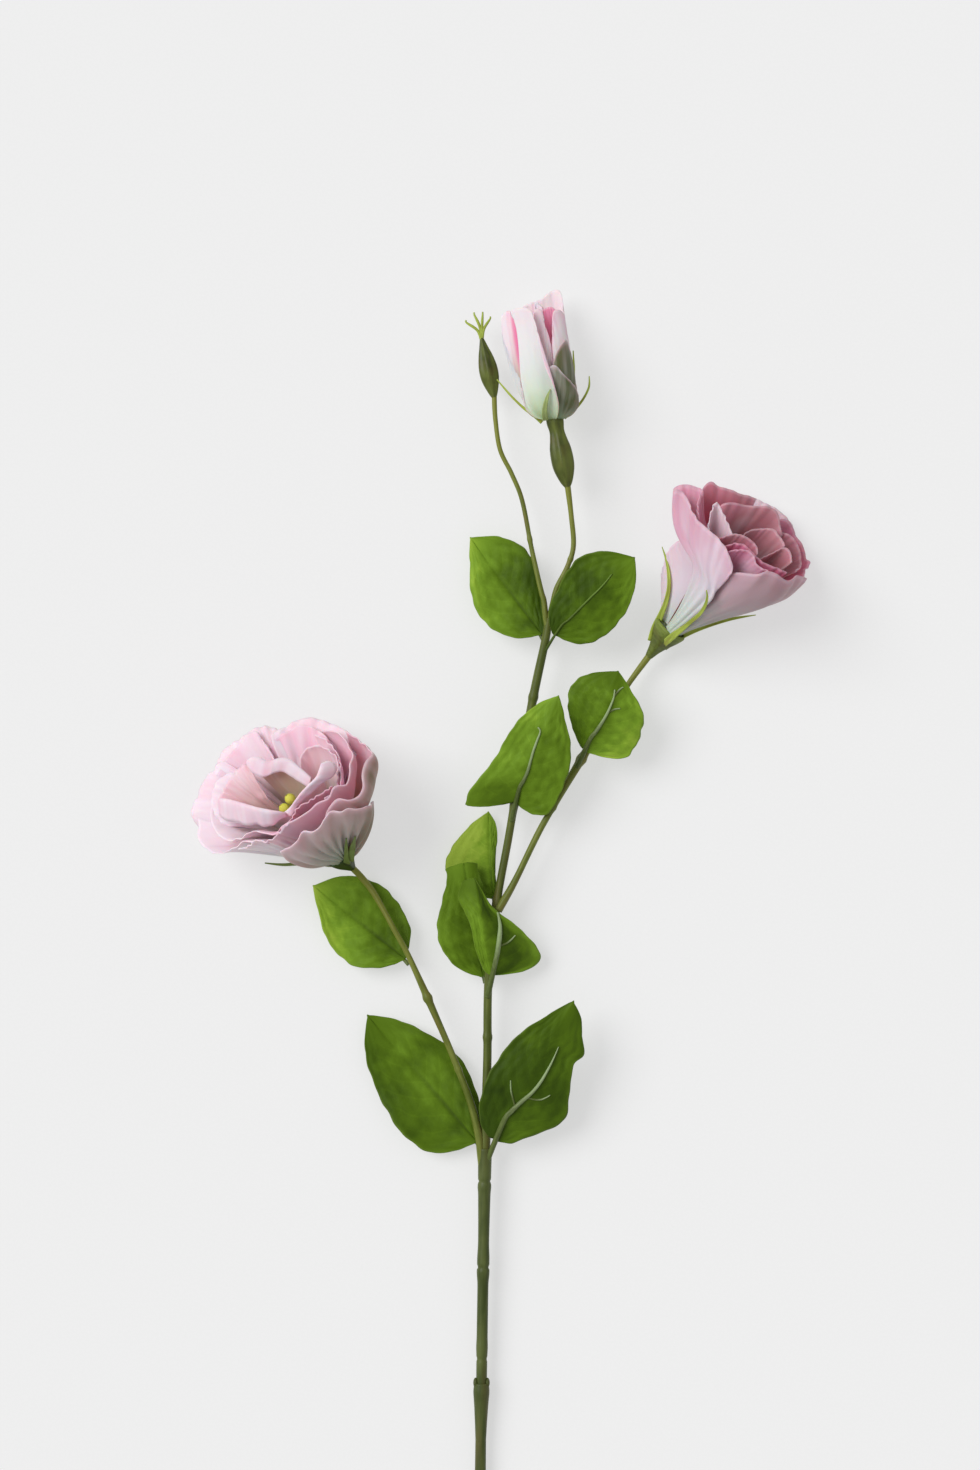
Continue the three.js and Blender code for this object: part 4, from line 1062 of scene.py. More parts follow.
def make_bloom(name, bloom, petals, finish, nodes):
    shape = Shape()
    across = np.linspace(-1, 1, PETAL_ACROSS)[:, None]
    along = np.linspace(0, 1, PETAL_ALONG)[None, :]
    for number, petal in enumerate(petals):
        form = {key: value for key, value in petal.items() if key not in (*LOOKS, "lined")}
        grid, facing = petal_grid(bloom, (PHASE_STEP * number) % 1.0, **form)
        looks = {key: spread(petal.get(key, 0.0), (across + 1) / 2) for key in LOOKS}
        looks |= dict(inside=0.0 if facing > 0 else 1.0, tone=math.sin(TONE_STEP * number + TONE_START))
        cloth(shape, grid, PETAL_CLOTH, petal.get("lined"), along=along, across=across, **looks)
    shape.piece(name, finish, nodes)
    print(name, len(petals), "petals, up to", round(max(v[:, 2].max() for v in shape.vertices), 1), "mm high")


print("bloom maker ready")

# %% [markdown]
# ## The left bloom
# The widest bloom opens up and to the left. Its near petals show their pleated pale backs below their
# margins, greyed by painted shade, and its far petals show their pink faces up to the soft outline. A margin
# is a list of (right, up, height); the shade numbers say where painted shade greys a petal outside, and the
# inner shade numbers where painted shade darkens it inside.

# %% The left bloom
left = Bloom([-57.5, 122, 9], 134, 36, (-59.34, -56.76))
LEFT_PETALS = [
    # outer petals, on the table
    dict(margin=[(-58, 42, 8), (-57, 47, 6), (-54, 51, 5), (-50, 54, 5), (-46.5, 56.5, 6), (-43, 59, 7),
                 (-38, 60.2, 8), (-33, 59.5, 9), (-30, 57, 12)],
         start=14, end=100, arrive=0.7, dye=-0.4, pleat=0.6),
    dict(margin=[(-35, 57, 14), (-32, 58.5, 13), (-28, 60.5, 12), (-24, 63, 12), (-19, 64.3, 13),
                 (-14, 63.5, 15), (-10, 62, 17), (-5, 60, 20), (-0.5, 57.3, 23), (2.5, 52, 26),
                 (1, 45, 28)], start=14, end=90, arrive=0.7, dye=-0.3),
    dict(margin=[(-57, 12, 7), (-62.5, 13.5, 8), (-67, 18.5, 9), (-69, 24, 9), (-66.5, 30, 8), (-65, 35, 7),
                 (-62.5, 39, 7), (-59, 42, 8), (-57, 45, 9), (-54, 45, 12)],
         start=14, end=95, arrive=0.7, dye=-0.5, pleat=0.8),
    # right outer petal, its rim bent inwards, its back greyed by painted shade
    dict(margin=[(-3, 58.5, 28), (2, 55.5, 34), (6, 52, 41), (8.4, 48.5, 47), (6.3, 46, 51), (4.4, 42, 54),
                 (4.4, 38, 56.5), (4.5, 34, 58), (2.8, 30.6, 60), (-0.5, 28.9, 61), (-6, 29.2, 61),
                 (-9.5, 26.5, 60.5), (-11.5, 22, 59)],
         start=(14, 19, 24, 21, 17), end=(6, -10, -28, -22, 0), arrive=0.8, leave=1.1, pleat=0.2, dye=0.7,
         shade=(0.1, 0.8, 1, 0.9, 0.5), deep=(0, 0.1, 0.2, 0.1, 0), root=3.8, seat=6.5),
    # left outer petal, its body swelling towards the table
    dict(margin=[(-36, 9.5, 50), (-40, 10.5, 48), (-44, 11, 46), (-47, 10.8, 44), (-49.5, 9.4, 42),
                 (-51, 8, 40), (-53.5, 7, 36), (-57, 5.5, 31), (-61, 6.5, 26), (-64.5, 9.5, 21),
                 (-66.5, 13, 17), (-66, 18, 13), (-66.5, 23, 9), (-65, 29, 6)],
         start=(42, 40, 32, 20, 14), end=60, arrive=0.8, leave=1.2, dye=(-0.6, -1.2, -1.4, -1.2), pleat=0.9,
         pleats=6, root=3.8, seat=6.5),
    # near outer petal, pleated, its back greyed by painted shade
    dict(margin=[(-31, 6.5, 53), (-29, 8, 56), (-26.5, 8.8, 59), (-24, 10.5, 61), (-22.5, 13.4, 62),
                 (-20.5, 15, 63), (-16.5, 15.3, 64), (-14, 16.8, 65), (-12.5, 19.5, 65.5), (-11, 22.5, 66),
                 (-9.5, 23.8, 66.5), (-5, 24.2, 66.5), (-2, 25, 65.5), (3, 25, 63), (6, 25.8, 60),
                 (8, 26.6, 56), (9, 28.4, 50)],
         first_side=[(-9, 1.2, 22), (-18, 0.2, 31), (-27, 2.5, 44)],
         last_side=[(2, 6, 24), (6.4, 14, 34), (9, 22, 44)], start=22, end=24, arrive=0.7, leave=1.2,
         pleat=1.0, pleats=9, shade=(0.55, 0.5, 0.6, 0.85, 1.1), root=3.8, seat=6.5),
    # second row, far
    dict(margin=[(-60, 33, 9), (-58.5, 38, 10), (-56.5, 42, 11), (-54, 47, 11), (-50, 51, 11),
                 (-46.5, 55.5, 12), (-43.5, 58, 13), (-40.5, 57.8, 14), (-38.5, 54.5, 16), (-36, 51.5, 18),
                 (-34.5, 48.5, 20), (-34, 46.5, 22)], start=12, end=75, arrive=0.6, dye=0.1),
    dict(margin=[(-39, 42, 13), (-37.5, 48, 14.5), (-34.5, 53, 15.5), (-31, 56.5, 16), (-27, 58.5, 16),
                 (-23, 61, 17), (-18.5, 60.8, 19), (-15, 59, 21), (-12, 57, 23), (-9.5, 53.5, 26),
                 (-8, 50, 29)], start=12, end=60, arrive=0.6, pleat=1.2, pleats=6, dye=0.5),
    # second row, right: the long margin that runs round the near side
    dict(margin=[(-19, 55, 13), (-14.5, 58, 18), (-9.5, 58.8, 25), (-5, 57.5, 31), (-2.5, 53.5, 36),
                 (-0.4, 50, 41), (-0.2, 47, 44), (-1.2, 44, 47), (-1.2, 41, 50), (-1.8, 37.5, 52.5),
                 (-3.2, 35.3, 54), (-6.5, 35, 56), (-8.7, 33, 57), (-9.7, 30.5, 58), (-12, 28.5, 59),
                 (-15, 27, 59.5), (-18, 24.5, 60), (-21.5, 22, 60.5), (-25, 20, 60.5), (-28.5, 18, 60),
                 (-31.5, 14.7, 59)],
         start=14, end=(20, 0, -10, 10, 20), arrive=0.6, leave=1.1, pleat=0.5,
         dye=(0.5, 0.6, 0.7, 0.8, 0.5), shade=(0, 0.3, 0.4, 0, 0)),
    # second row, left and near left
    dict(margin=[(-27, 18.5, 60), (-29.5, 17, 60), (-31.5, 14.7, 59), (-34.5, 12.2, 57.5),
                 (-38, 10.8, 55.5), (-41.5, 11.4, 53.5), (-43.5, 9.6, 51), (-46, 8.5, 48), (-49, 8, 44)],
         start=(24, 32, 34, 28), end=35, arrive=0.7, leave=1.1, pleat=0.4, pleats=7, dye=(0.4, -0.4, -1.0),
         root=3.0, seat=6),
    dict(margin=[(-26, 21, 59), (-29, 18.5, 58.5), (-31, 16.2, 57.5), (-33.5, 14.4, 56.5), (-36, 14, 55),
                 (-39, 14.8, 53), (-42, 15.4, 51), (-44.5, 14.2, 49), (-47, 12.6, 46), (-50, 11.5, 42),
                 (-55, 12, 35), (-59, 16, 28), (-61, 22, 21), (-60, 28, 15)],
         start=16, end=55, arrive=0.6, leave=1.1, dye=(1.2, 0.2, -0.9, -1.2), pleat=0.7, pleats=5),
    dict(margin=[(-54, 17, 24), (-58, 21, 22), (-60.5, 27, 19), (-60, 33, 16), (-58, 37, 14),
                 (-54, 39.5, 14), (-49, 41, 15), (-44, 40, 17)],
         start=14, end=80, arrive=0.6, dye=-0.6, pleat=0.8, pleats=4),
    # right inner petals
    dict(margin=[(-16, 57, 24), (-12.5, 55.5, 27), (-9.5, 52.5, 31), (-6.3, 48.5, 36), (-5.2, 45, 40),
                 (-4.9, 41, 44), (-4.9, 37, 48), (-5.6, 34.5, 51), (-8, 32, 53), (-12, 29.5, 55)],
         start=12, end=8, arrive=0.5, dye=0.2),
    dict(margin=[(-22, 42, 30), (-22, 47.5, 29), (-20, 50.5, 30), (-17.5, 52, 31), (-14, 52.3, 33),
                 (-11.5, 51, 35), (-9.5, 49.5, 37), (-7, 47, 39), (-6, 43, 42), (-6, 39, 45),
                 (-6.4, 35.8, 48)],
         start=8, end=2, arrive=0.5, pleat=0.2, dye=0.1, deep=(0.2, 0.3, 0.2, 0.3, 0.3)),
    # near inner petals, the second with its lip rolled over
    dict(margin=[(-28, 18, 57), (-25.6, 20.4, 57), (-24.4, 24, 57), (-22, 26.8, 57), (-18.5, 28.2, 57),
                 (-15.5, 30, 56.5), (-13, 31.5, 56), (-10.5, 33.6, 54.5), (-8.5, 35, 53)],
         start=12, end=45, arrive=0.5, leave=1.0, dye=1.2),
    dict(margin=[(-28.4, 21, 51), (-26.2, 21.6, 52), (-23.6, 26, 53), (-20.6, 29.2, 54), (-17.4, 32, 54),
                 (-12.8, 36.1, 53), (-8, 39.2, 51), (-6.5, 42, 49), (-7.4, 44.4, 48), (-9.8, 45.4, 48),
                 (-12.2, 44.8, 48)],
         crest=[(-29.2, 23.4, 50), (-26.6, 25.6, 53), (-24.4, 28.6, 55), (-22, 31.8, 56), (-18.8, 35.2, 56),
                (-15.6, 38.4, 55), (-14.2, 41.4, 53), (-13.4, 43.8, 51), (-12.8, 44.6, 49)],
         start=6, leave=0.9, arrive=0.3, dye=-0.3, frill=0.15),
    # left inner petals, the first rolled back over the near side
    dict(margin=[(-28, 21.5, 54), (-31, 20.4, 54), (-33.5, 18.2, 53), (-36, 17.6, 52), (-38, 17.4, 51),
                 (-41, 18.4, 49), (-43.5, 17.9, 47), (-46, 18, 44), (-48.5, 19, 40.5), (-51, 19.6, 37),
                 (-54, 20, 33), (-57, 22.5, 29)],
         crest=[(-28.5, 23.3, 57), (-31, 23.8, 58), (-34, 24.2, 58), (-37, 24.8, 57), (-40, 25.4, 56),
                (-43.5, 26.4, 53), (-47, 27.4, 49), (-50.5, 28.4, 44), (-54, 29.2, 39), (-57.5, 29.4, 33)],
         start=8, leave=0.9, arrive=0.3, dye=-0.1, frill=0.12),
    dict(margin=[(-44.5, 45, 31), (-48, 43, 30), (-51.5, 39.5, 29), (-54, 35.5, 29), (-56, 32, 30),
                 (-57, 29.5, 31), (-55.5, 28, 34)],
         start=10, end=50, arrive=0.6, dye=(0.6, 0.2, 0.5, 0.8), deep=(0.6, 0.4, 0.5, 0.8), pleat=0.9,
         pleats=3, first_side=[(-33, 27, 36), (-37, 31.5, 37), (-41, 37.5, 36)]),
    # far inner petal, its tip hooded over the throat
    dict(margin=[(-45.5, 44.5, 32), (-43.3, 41.2, 34), (-40.5, 39.2, 36), (-38, 38.6, 37),
                 (-35.5, 39.5, 38), (-33, 40.5, 38.5), (-30, 41, 39), (-27, 39.5, 40), (-23, 36.8, 41),
                 (-18.5, 34, 42)],
         crest=[(-45.2, 45.5, 30), (-43, 47, 32), (-40, 47.2, 34), (-37, 45.8, 35.5), (-34.8, 45.6, 36.5),
                (-32, 46.6, 37.5), (-29, 46.8, 38.5), (-26, 45.7, 39.5), (-22, 42.4, 41),
                (-17.5, 38.4, 42.5)],
         start=4, leave=0.8, arrive=0.3, dye=-0.3, frill=0.12, deep=(0.5, 0.6, 0.7, 0.6)),
]
make_bloom("left_bloom_cloth", left, LEFT_PETALS, left_cloth, ["left_bloom_petals"])

# %% [markdown]
# ## The right bloom
# The right bloom lies lower and is seen more from the side: two pale petals stand in front, and a dark
# rose cup, deepened by painted shade, opens behind them. A petal that is rose or pale on both faces is
# lined with 1 or 0.

# %% The right bloom
right = Bloom([71, 213.5, 9], 52.5, 22, (68.8, 34.4))
RIGHT_PETALS = [
    # pale outer petal on the table
    dict(margin=[(5.2, 34, 14), (6, 40, 16), (8.5, 45.5, 20), (12, 49, 24), (18, 50, 27)], start=14, end=6,
         arrive=0.6, dye=-2.4, lined=0, first_side=[(4.2, 12, 13), (5, 22, 13), (5, 28, 13)],
         last_side=[(15, 13, 20), (21, 23, 24), (26, 33, 27), (24, 42, 28)]),
    # far outer petals, on the table
    dict(margin=[(20.5, 62, 22), (20.8, 66, 20), (22, 70, 19), (24, 73.3, 18), (26.3, 74.6, 17),
                 (28.5, 73.2, 16), (31, 72, 15), (35, 71, 14), (38, 69.5, 12), (42, 68.6, 9), (46, 67, 6),
                 (50, 62.5, 4)], start=10, end=45, arrive=0.6, dye=0.3, deep=(0.6, 0.3, 0.1)),
    dict(margin=[(37, 60, 4), (41, 65, 5), (45.6, 66.8, 6), (50, 65, 7), (54, 63.2, 6), (58, 60, 6),
                 (61, 56, 6), (62.5, 52, 7)], start=10, end=40, arrive=0.6, dye=-2.6),
    dict(margin=[(53, 57, 8), (58, 58.4, 8), (61, 55.6, 8), (62.6, 51.5, 8), (65, 48.5, 9), (66.5, 45, 10),
                 (67.2, 41.3, 11), (69, 39.8, 13), (68.3, 38, 15), (66.8, 36.4, 18), (66.4, 34, 22)],
         start=10, end=40, arrive=0.6, dye=0.8),
    # upper left outer petal, behind the near left one
    dict(margin=[(10.4, 68, 22), (10.3, 71.4, 23), (12.5, 73, 24), (16.5, 73.3, 25), (20, 72.2, 26),
                 (22.2, 71, 27), (20.8, 66, 31), (20.5, 60, 35)],
         start=16, end=12, arrive=0.6, leave=1.2, dye=0.8,
         first_side=[(12, 16, 17), (18, 27, 21), (20.5, 38, 24), (17, 48, 23), (12.5, 57, 22)],
         grip=(0.0, 2.0)),
    # right and near right outer petal, greyed outside by painted shade
    dict(margin=[(20, 29, 31), (26, 30, 37), (31, 32, 42), (35.5, 35.2, 46), (41, 35.2, 48), (46, 34.8, 49),
                 (50, 36, 49), (54, 35.2, 47), (57, 33, 45), (60, 32, 41), (63.5, 34, 36), (66.5, 33.4, 30),
                 (67.3, 33, 27)],
         start=16, end=(2, 0, -12, -22, -10), arrive=0.8, leave=1.1, pleat=0.4,
         shade=(0.2, 0.35, 0.55, 0.7, 0.7), dye=0.2,
         first_side=[(8, 10.5, 13), (13.5, 18, 18), (18, 25, 24)],
         last_side=[(15, 11.2, 16), (23.5, 15.0, 19), (32, 18.0, 22), (42, 20.0, 24), (51.5, 21.9, 26),
                    (58.5, 24.4, 27), (63.6, 28.6, 27), (66.4, 31.4, 27)]),
    # second row
    dict(margin=[(26, 55, 20), (28, 60.5, 22), (31, 64.8, 24), (36, 65.5, 23), (41, 64.5, 20), (46, 64, 18),
                 (50, 64, 17), (54, 62.3, 16), (55.6, 59, 16), (56, 56, 17), (57, 51.5, 18)],
         start=8, end=30, arrive=0.5, dye=0.1, deep=(0.4, 0.5, 0.8)),
    dict(margin=[(52, 50, 18), (55.5, 52.6, 17), (58.5, 52.3, 16), (61, 51, 16), (63, 48.5, 16),
                 (64.5, 45, 17), (65, 41, 19), (64.8, 38, 22), (63, 36, 27)],
         start=8, end=30, arrive=0.5, dye=0.2, deep=0.7),
    # near left petal, white-pink with a fold
    dict(margin=[(9.9, 69, 29), (11, 71.2, 30), (13.5, 70.4, 31), (15.6, 68, 33), (16.6, 65.5, 35),
                 (18, 62, 38), (20.8, 58, 41), (25, 54.2, 44), (29, 50.6, 46), (32, 46.6, 48),
                 (34, 42.8, 49), (35.5, 38.5, 49), (35.4, 35.2, 48)],
         start=16, end=14, arrive=0.6, leave=1.1, pleat=0.35, pleats=4, dye=(0.6, 0.2, -0.4, 0),
         first_side=[(7, 12, 19), (12, 19.5, 26), (15.8, 27.5, 31), (18.3, 34.8, 34), (17.9, 40.5, 35),
                     (14.2, 46.5, 33), (10.9, 53.5, 31), (9.6, 61, 29)],
         grip=(0.3, 2.0), last_side=[(11.5, 15.5, 23), (17, 21.3, 29), (25, 27.2, 38), (31, 31.4, 44)]),
    # inner petals
    dict(margin=[(25, 51, 39), (25, 55, 39), (26, 59.5, 38), (27.4, 64, 36), (28.6, 65.9, 35),
                 (30.2, 63.8, 35), (32, 60, 36), (33.6, 56, 37), (35.8, 51, 38)],
         start=4, end=10, arrive=0.5, dye=(-2.4, -1.6, -0.8),
         first_side=[(16, 12, 15), (22, 22, 21), (25, 33, 28), (25.6, 43, 35)],
         last_side=[(17, 12, 16), (25, 22, 22), (31, 33, 29), (35, 43, 35)]),
    dict(margin=[(29, 50, 42), (33, 51.3, 41), (37, 52, 40), (41, 51, 39), (44, 49, 38), (46, 46.5, 38),
                 (46.3, 43.5, 39)], start=6, end=4, arrive=0.5, dye=0.3, lined=1, deep=0.3, frill=0.2),
    dict(margin=[(39.5, 50, 28), (41, 52.4, 27), (44, 53.9, 26), (48, 54.3, 25), (53, 54.2, 25),
                 (55, 52, 26), (57, 49.5, 27), (58, 47, 29)],
         start=4, end=8, arrive=0.5, dye=0.1, lined=1, deep=0.8, frill=0.2),
    dict(margin=[(46, 40, 35), (48.5, 42, 34), (53, 44, 32), (58, 46.2, 30), (60.5, 44, 31), (61, 40, 33)],
         start=4, end=6, arrive=0.5, dye=0.1, lined=1, deep=1.0, frill=0.15),
    dict(margin=[(31, 46.4, 44), (34, 47.6, 44), (38, 48, 43), (41, 47, 43), (44, 44.3, 42), (47, 41.3, 42),
                 (50, 39.3, 41.5), (55, 37.2, 40), (59, 35.3, 38)],
         start=6, end=4, arrive=0.5, dye=1.2, lined=1),
    dict(margin=[(33, 44.3, 46), (37, 45.2, 46), (42, 45, 45), (44.8, 42.5, 45), (45.6, 39.5, 45),
                 (48, 37.5, 45), (51, 36.4, 45)],
         start=8, end=14, arrive=0.5, dye=(2.8, 2.2, 0.6, 1.2), frill=0.2),
]
make_bloom("right_bloom_cloth", right, RIGHT_PETALS, right_cloth, ["right_bloom_petals"])

# %% [markdown]
# ## The half-open bloom
# The top bloom is still wrapped: a few petals stand round each other like rolled paper. They could be one
# coiled sheet, but the picture shows several rims at different heights, so each is a petal of its own.

# %% The half-open bloom
top = Bloom([30.5, 314.1, 19.15], 96, 3, (28.38, 135.88))
TOP_SHAPE = dict(start=70, leave=0.9, root=2.2, seat=0.2, arrive=0.7, narrow=0.95, frill=0.2)
TOP_PETALS = [
    # back petals
    dict(margin=[(-9, 44, 12), (-8.8, 50.3, 11), (-6, 51.6, 11), (-4.5, 53.4, 11), (-1.5, 55.2, 11),
                 (1.2, 55.4, 12), (2.6, 52, 13), (3, 47, 15), (4, 40, 17)], end=0, dye=-0.6),
    dict(margin=[(-17, 36, 13), (-18, 43, 12), (-14, 48.4, 11), (-9, 50.3, 11), (-6, 48, 12)], end=2,
         dye=-0.2),
    # right petal, its outside darkened to olive by painted shade
    dict(margin=[(-1.2, 24, 32), (0.4, 29, 32), (2.8, 33, 31), (4.4, 34.2, 29), (5.4, 31, 27),
                 (6.7, 26, 26), (7.9, 19, 25), (9.1, 12, 24)],
         end=-12, shade=(1.1, 1.1, 1.0, 1.0), last_side=[(6.4, 1.5, 21), (9.4, 5.5, 23)], dye=0.3),
    # left petal with a deep pink inside
    dict(margin=[(-15.5, 18, 20), (-18.6, 26, 19), (-21.9, 32, 18.5), (-23.3, 38, 18.5), (-23.5, 43.5, 19),
                 (-22, 45.8, 20), (-20, 46.5, 21.5), (-18.9, 44, 22.5), (-17, 40, 23)],
         end=2, dye=(-1.3, -1.5, -1.5, -1.5, 0, 2.4), shade=(0.25, 0.2, 0.1, 0, 0),
         first_side=[(-9.5, 0.6, 20), (-13.2, 4.5, 20), (-14.6, 11, 20)]),
    # deep pink petal inside
    dict(margin=[(-7, 46, 22), (-4, 47.9, 21), (-1.5, 48, 21), (0.5, 46, 21)], end=-4, dye=1.3),
    # folded petal in the middle
    dict(margin=[(-9, 24, 27), (-9.2, 40, 28), (-9.3, 46.3, 28), (-7, 47.4, 28), (-5.6, 45.5, 28),
                 (-5, 41, 28), (-3.2, 36, 28.5), (-2.2, 30, 29), (-1.5, 24, 29)],
         end=-2, pleat=0.6, pleats=3, dye=0.3),
    # near right petal, its outside darkened to olive by painted shade
    dict(margin=[(9.8, 9, 26), (8.9, 12.6, 28), (6.6, 15.8, 30.5), (3.3, 19.2, 32.5), (0, 22.9, 33.2),
                 (-2.5, 22.6, 33), (-5.5, 20, 31.5), (-8, 17, 29)],
         end=-14, shade=(1.0, 1.0, 1.1, 1.0, 0.5, 0.1), first_side=[(6, 1.5, 23), (9.4, 5, 25)],
         last_side=[(-6.5, 3, 24), (-8, 11, 27)]),
    # narrow petal to the right of the middle
    dict(margin=[(-0.4, 23, 28), (-1.4, 30, 29), (-1.6, 38, 29), (-1.3, 45.5, 28.5), (0.4, 47, 28),
                 (2.7, 46, 26.5), (3.7, 42, 25.5), (4.3, 38, 25.5), (4.2, 34, 25.5), (3.2, 30, 26),
                 (1.6, 26, 27)], end=-6, dye=0.2),
    # front petal, greyed towards its right by painted shade
    dict(margin=[(-14.9, 18, 25), (-15.2, 30, 26), (-15.9, 37, 27), (-18.3, 44, 27), (-18.8, 47, 27.5),
                 (-14.5, 47.9, 30), (-10.8, 46.8, 31.5), (-9.2, 42, 32.5), (-7.6, 36, 33), (-6.6, 30, 33.5),
                 (-5.2, 24, 34), (-3.4, 19.5, 34.3)],
         end=2, pleat=0.35, pleats=3, dye=(-0.2, -0.8, 0.2), shade=(0, 0, 0.05, 0.2, 0.6),
         last_side=[(0.6, 1, 27), (1.2, 5.5, 31.5), (0, 11, 34), (-1.8, 16, 34.4)],
         first_side=[(-8.6, 0.4, 22), (-12.8, 4.5, 23), (-14.4, 11, 24)]),
]
make_bloom("top_bloom_cloth", top, [TOP_SHAPE | petal for petal in TOP_PETALS], top_cloth, ["top_petals"])

# %% [markdown]
# ## Bodies of revolution and strips
# Cups, pods and the lobes of a pistil are ribbed bodies of revolution; a sepal is a narrow tapering strip.
# A screw modifier would turn a profile as well, but it leaves out the ribs.

# %% Bodies of revolution and strips
SEPAL_ACROSS = 7
SEPAL_ALONG = 36
SEPAL_THICKNESS = 0.5
SEPAL_HOLLOW = 0.25


def turned_body(shape, foot, bloom, heights, radii, ribs=5, depth=0.05, rows=30, sides=60):
    """A ribbed body of revolution along a bloom's axis."""
    share = np.linspace(0, 1, rows)
    angle = np.linspace(0, TURN, sides, endpoint=False)
    swell = 1 + depth * np.cos(ribs * angle)
    ring = np.cos(angle)[:, None] * bloom.up + np.sin(angle)[:, None] * bloom.side
    body = []
    for height, radius in zip(through(heights, share), through(radii, share)):
        body.append(foot + height * bloom.axis + (radius * swell)[:, None] * ring)
    stored = dict(along=np.repeat(share, sides), round=np.tile(angle / TURN, rows))
    faces = grid_faces(rows, sides, closed=True) + end_caps(rows, sides)
    shape.add(np.concatenate(body), [face[::-1] for face in faces], **stored)


def make_sepal(name, bloom, points, half, finish, nodes):
    """A narrow blade through seen points, hollow along its middle, with half-widths at even steps."""
    line = evenly(bloom.seen(points), SEPAL_ALONG)
    share = np.linspace(0, 1, SEPAL_ALONG)
    aside = unit(np.cross(unit(np.gradient(line, axis=0)), UPWARDS))
    width = through(half, share)
    a = np.linspace(-1, 1, SEPAL_ACROSS)[:, None]
    grid = line[None] + (a * width)[..., None] * aside[None]
    grid[..., 2] += SEPAL_HOLLOW * (np.abs(a) * width)
    blade = Shape()
    cloth(blade, grid, SEPAL_THICKNESS, along=share[None, :], round=(a + 1) / 2)
    blade.piece(name, finish, nodes)


print("sepals are", SEPAL_THICKNESS, "mm thick")

# %% [markdown]
# ## Calyx cups and sepals
# Under each open bloom a green moulded cup holds the petals, and narrow sepals stand out from it. Cup and
# sepals could be one mesh, but they are separate mouldings in two greens.

# %% Calyx cups and sepals


def make_calyx(name, bloom, cup, sepals, nodes, cup_finish, sepal_finish):
    shape = Shape()
    turned_body(shape, bloom.foot, bloom, *cup)
    shape.piece(name + "_cup", cup_finish, nodes)
    for number, (points, half) in enumerate(sepals):
        make_sepal(f"{name}_sepal_{number + 1}", bloom, points, half, sepal_finish, nodes)
    print(name, "has", len(sepals), "sepals")


LEFT_CUP = ([-0.5, 2, 5, 8, 10, 10.6], [1.5, 2.8, 4.4, 5.5, 6.0, 5.4])
LEFT_SEPALS = [
    ([(-4, 3, 6), (-12, 1.5, 5), (-22, 1.4, 4), (-30, 1.0, 3.5), (-37.5, 1.7, 4)],
     [1.2, 0.9, 0.7, 0.6, 0.25]),
    ([(-2.2, 1.4, 17), (-2.4, 4.0, 24), (-2.5, 8, 34.5), (-2.5, 12.2, 44)], [1.5, 1.0, 0.8, 0.25]),
    ([(-1.0, 2.8, 20), (-0.2, 6.5, 29.5), (0.5, 9.5, 37), (1.4, 13, 44)], [1.8, 1.5, 1.1, 0.3]),
]
RIGHT_CUP = ([-0.5, 4, 8, 12, 15.5, 16.4], [1.6, 2.8, 4.4, 6.2, 7.4, 6.6])
RIGHT_SEPALS = [
    ([(0.6, 6, 12), (2.4, 12, 15), (4.8, 17.5, 17), (6.9, 23, 18), (8.1, 29, 19), (8, 35, 19), (7, 41, 18),
      (5.2, 46.5, 16)], [1.7, 1.7, 1.3, 1.0, 0.85, 0.7, 0.5, 0.15]),
    ([(6, 4.8, 17), (10, 8.3, 24), (13.8, 11.2, 29), (17.5, 14.3, 34), (21.5, 17.8, 39), (23.8, 21.5, 43),
      (24.6, 25, 46), (24.3, 27.8, 48)], [1.4, 1.5, 1.2, 0.9, 0.8, 0.75, 0.6, 0.2]),
    ([(6, 3.4, 12), (11, 6.8, 13), (15, 9.0, 14), (22, 11.7, 15), (30, 14.2, 16), (37, 15.9, 16),
      (45.5, 17.2, 15)], [1.6, 1.6, 1.2, 0.9, 0.7, 0.5, 0.15]),
]
make_calyx("left_calyx", left, LEFT_CUP, LEFT_SEPALS, ["left_bloom_calyx"], cup_green, soft_sepal_green)
make_calyx("right_calyx", right, RIGHT_CUP, RIGHT_SEPALS, ["right_bloom_calyx"], open_cup_green, sepal_green)

# %% [markdown]
# ## Pods
# Under the top bloom is a ribbed pod, and four sepals stand out where the bloom meets it. The closed bud
# is a pod of the same kind with drawn-out tips. Six joined lobes would do, but a small wave added to a
# turned body's radius gives all the ribs in one step.

# %% Pods


def make_pod(name, line, cup, nodes, depth):
    shape = Shape()
    turned_body(shape, line.foot, line, *cup, ribs=6, depth=depth, sides=72)
    shape.piece(name, pod_green, nodes)
    print(name, "is", cup[0][-1], "mm long")


TOP_POD = ([0, 3, 9, 16, 21, 24.5, 28, 30.4], [1.3, 3.0, 4.8, 4.8, 3.8, 3.3, 3.8, 3.7])
TOP_SEPALS = [
    ([(-4.6, -0.5, 23), (-4.9, 3, 28), (-4.4, 7, 31), (-3.4, 10.5, 32), (-2.4, 12.8, 32)],
     [1.3, 1.2, 1.0, 0.7, 0.2], pale_sepal_green),
    ([(-6, -1.5, 20), (-9.5, 1.5, 20), (-13.5, 4.4, 19.5), (-19, 9.6, 19), (-25.4, 17, 18)],
     [0.8, 0.6, 0.45, 0.4, 0.2], sepal_green),
    ([(3.5, 0.5, 20), (6.5, 3, 20), (9.6, 5.8, 19.5), (12.4, 9.8, 19), (14.2, 14, 19), (14.3, 18.4, 19)],
     [0.8, 0.6, 0.5, 0.45, 0.4, 0.2], sepal_green),
    ([(2, 0, 15), (6, 9, 11), (7.5, 20, 10), (7.4, 29.4, 10)], [1.2, 1.0, 0.7, 0.2], sepal_green),
]
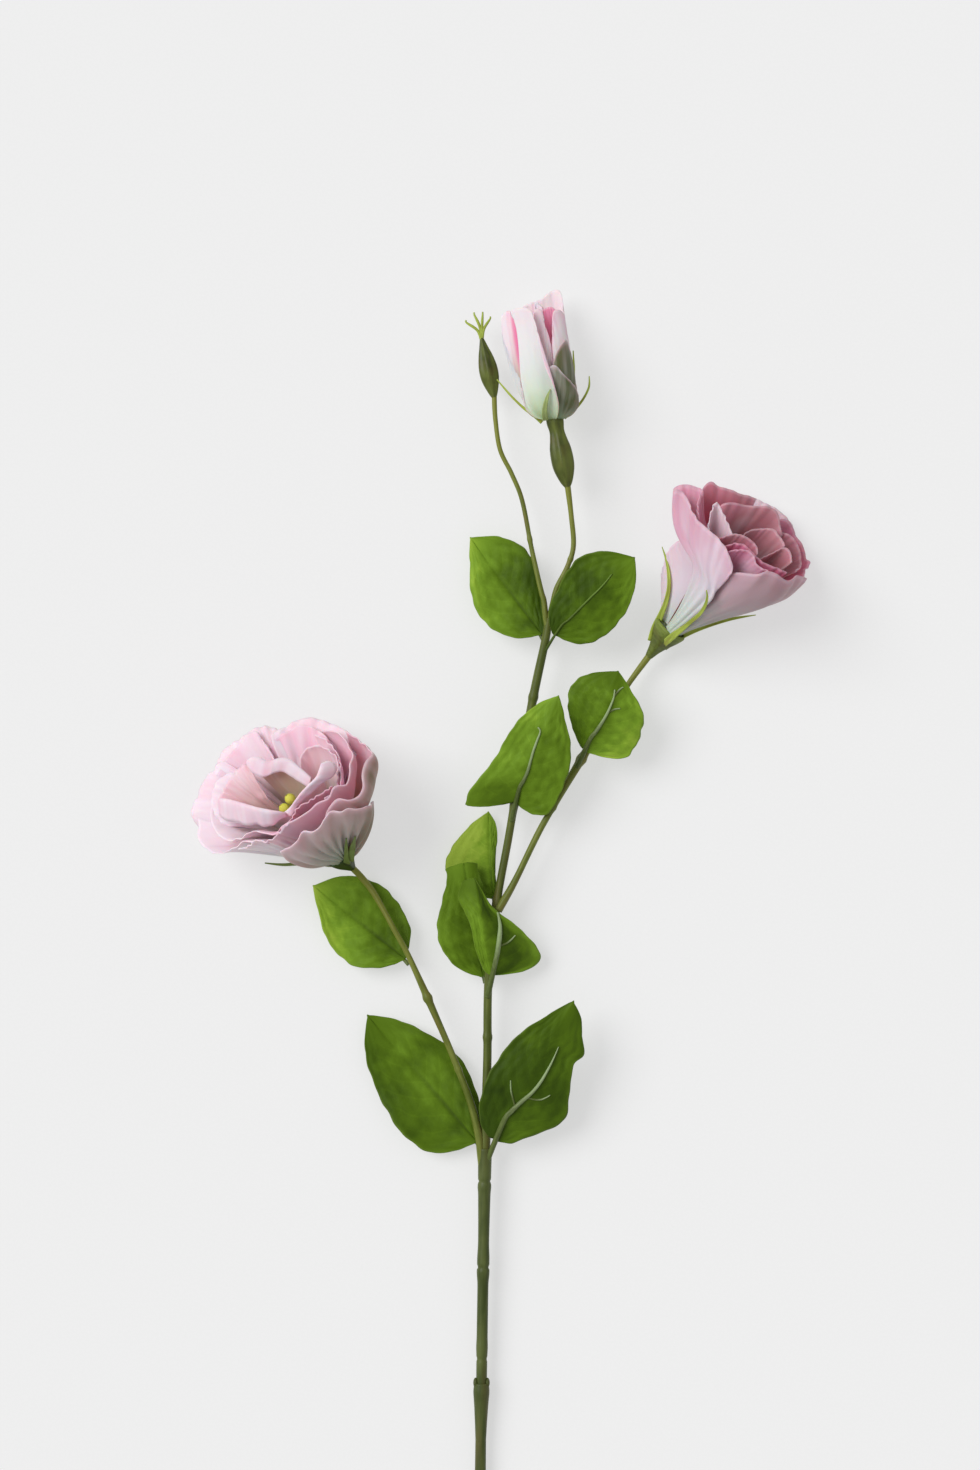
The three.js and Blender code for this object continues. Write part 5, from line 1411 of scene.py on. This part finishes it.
BUD_POD = ([0, 3, 8, 13, 18, 22, 26.2], [1.1, 2.4, 3.9, 4.1, 3.2, 2.0, 0.8])
BUD_NECK = from_fork([-1.4, 349.2, 12])
BUD_TIPS = ((-6.6, 8.6), (-3.2, 12.0), (0.4, 12.2), (3.6, 10.2))
BUD_TIP_RADII = [0.8, 0.6, 0.6, 0.35]


def make_bud_tips():
    """Four drawn-out tips that spread from the bud's neck."""
    tips = Shape()
    for aside, reach in BUD_TIPS:
        end = BUD_NECK + [aside, reach, 0]
        path = [BUD_NECK, BUD_NECK + [aside * 0.30, reach * 0.5, 0.3], end - [0, 1.0, 0], end]
        rod(tips, path, BUD_TIP_RADII, 10, 24)
    tips.piece("bud_tips", sepal_green, ["closed_bud"])


make_pod("top_pod", Bloom([35.5, 285.5, 18], 101, 2, (0, 0)), TOP_POD, ["top_calyx"], 0.06)
for number, (points, half, finish) in enumerate(TOP_SEPALS):
    make_sepal(f"top_sepal_{number + 1}", top, points, half, finish, ["top_calyx"])
make_pod("bud_pod", Bloom([4, 324.5, 12], 102, 0, (0, 0)), BUD_POD, ["closed_bud"], 0.08)
make_bud_tips()

# %% [markdown]
# ## Pistils
# In the throat of each open bloom stands a pistil: a thin style with a yellow stigma of two lobes. Balls
# would be simpler, but the real lobes are drawn out along the bloom, so they are turned bodies too.

# %% Pistils
LOBE = ([0, 0.6, 2, 3.6, 4.9, 5.6], [0.5, 1.5, 2.2, 2.2, 1.3, 0.3])
LOBE_BACK = 3.2
STYLE_FOOT = 5
STYLE_RADII = [1.3, 1.0]


def make_pistil(name, bloom, nodes, reach, lobes):
    shape = Shape()
    style = [bloom.foot + height * bloom.axis for height in (STYLE_FOOT, reach)]
    rod(shape, style, STYLE_RADII, 12, 12)
    for centre in bloom.seen(lobes):
        turned_body(shape, centre - LOBE_BACK * bloom.axis, bloom, *LOBE, depth=0.0, rows=16, sides=24)
    shape.piece(name, pistil_yellow, nodes)


make_pistil("left_pistil", left, ["left_bloom_pistil"], 46, [(-26.8, 29.5, 38), (-29.3, 25.3, 38)])
make_pistil("right_pistil", right, ["right_bloom_pistil"], 40, [(31, 37, 24), (33, 33, 24)])
print("pistils made")
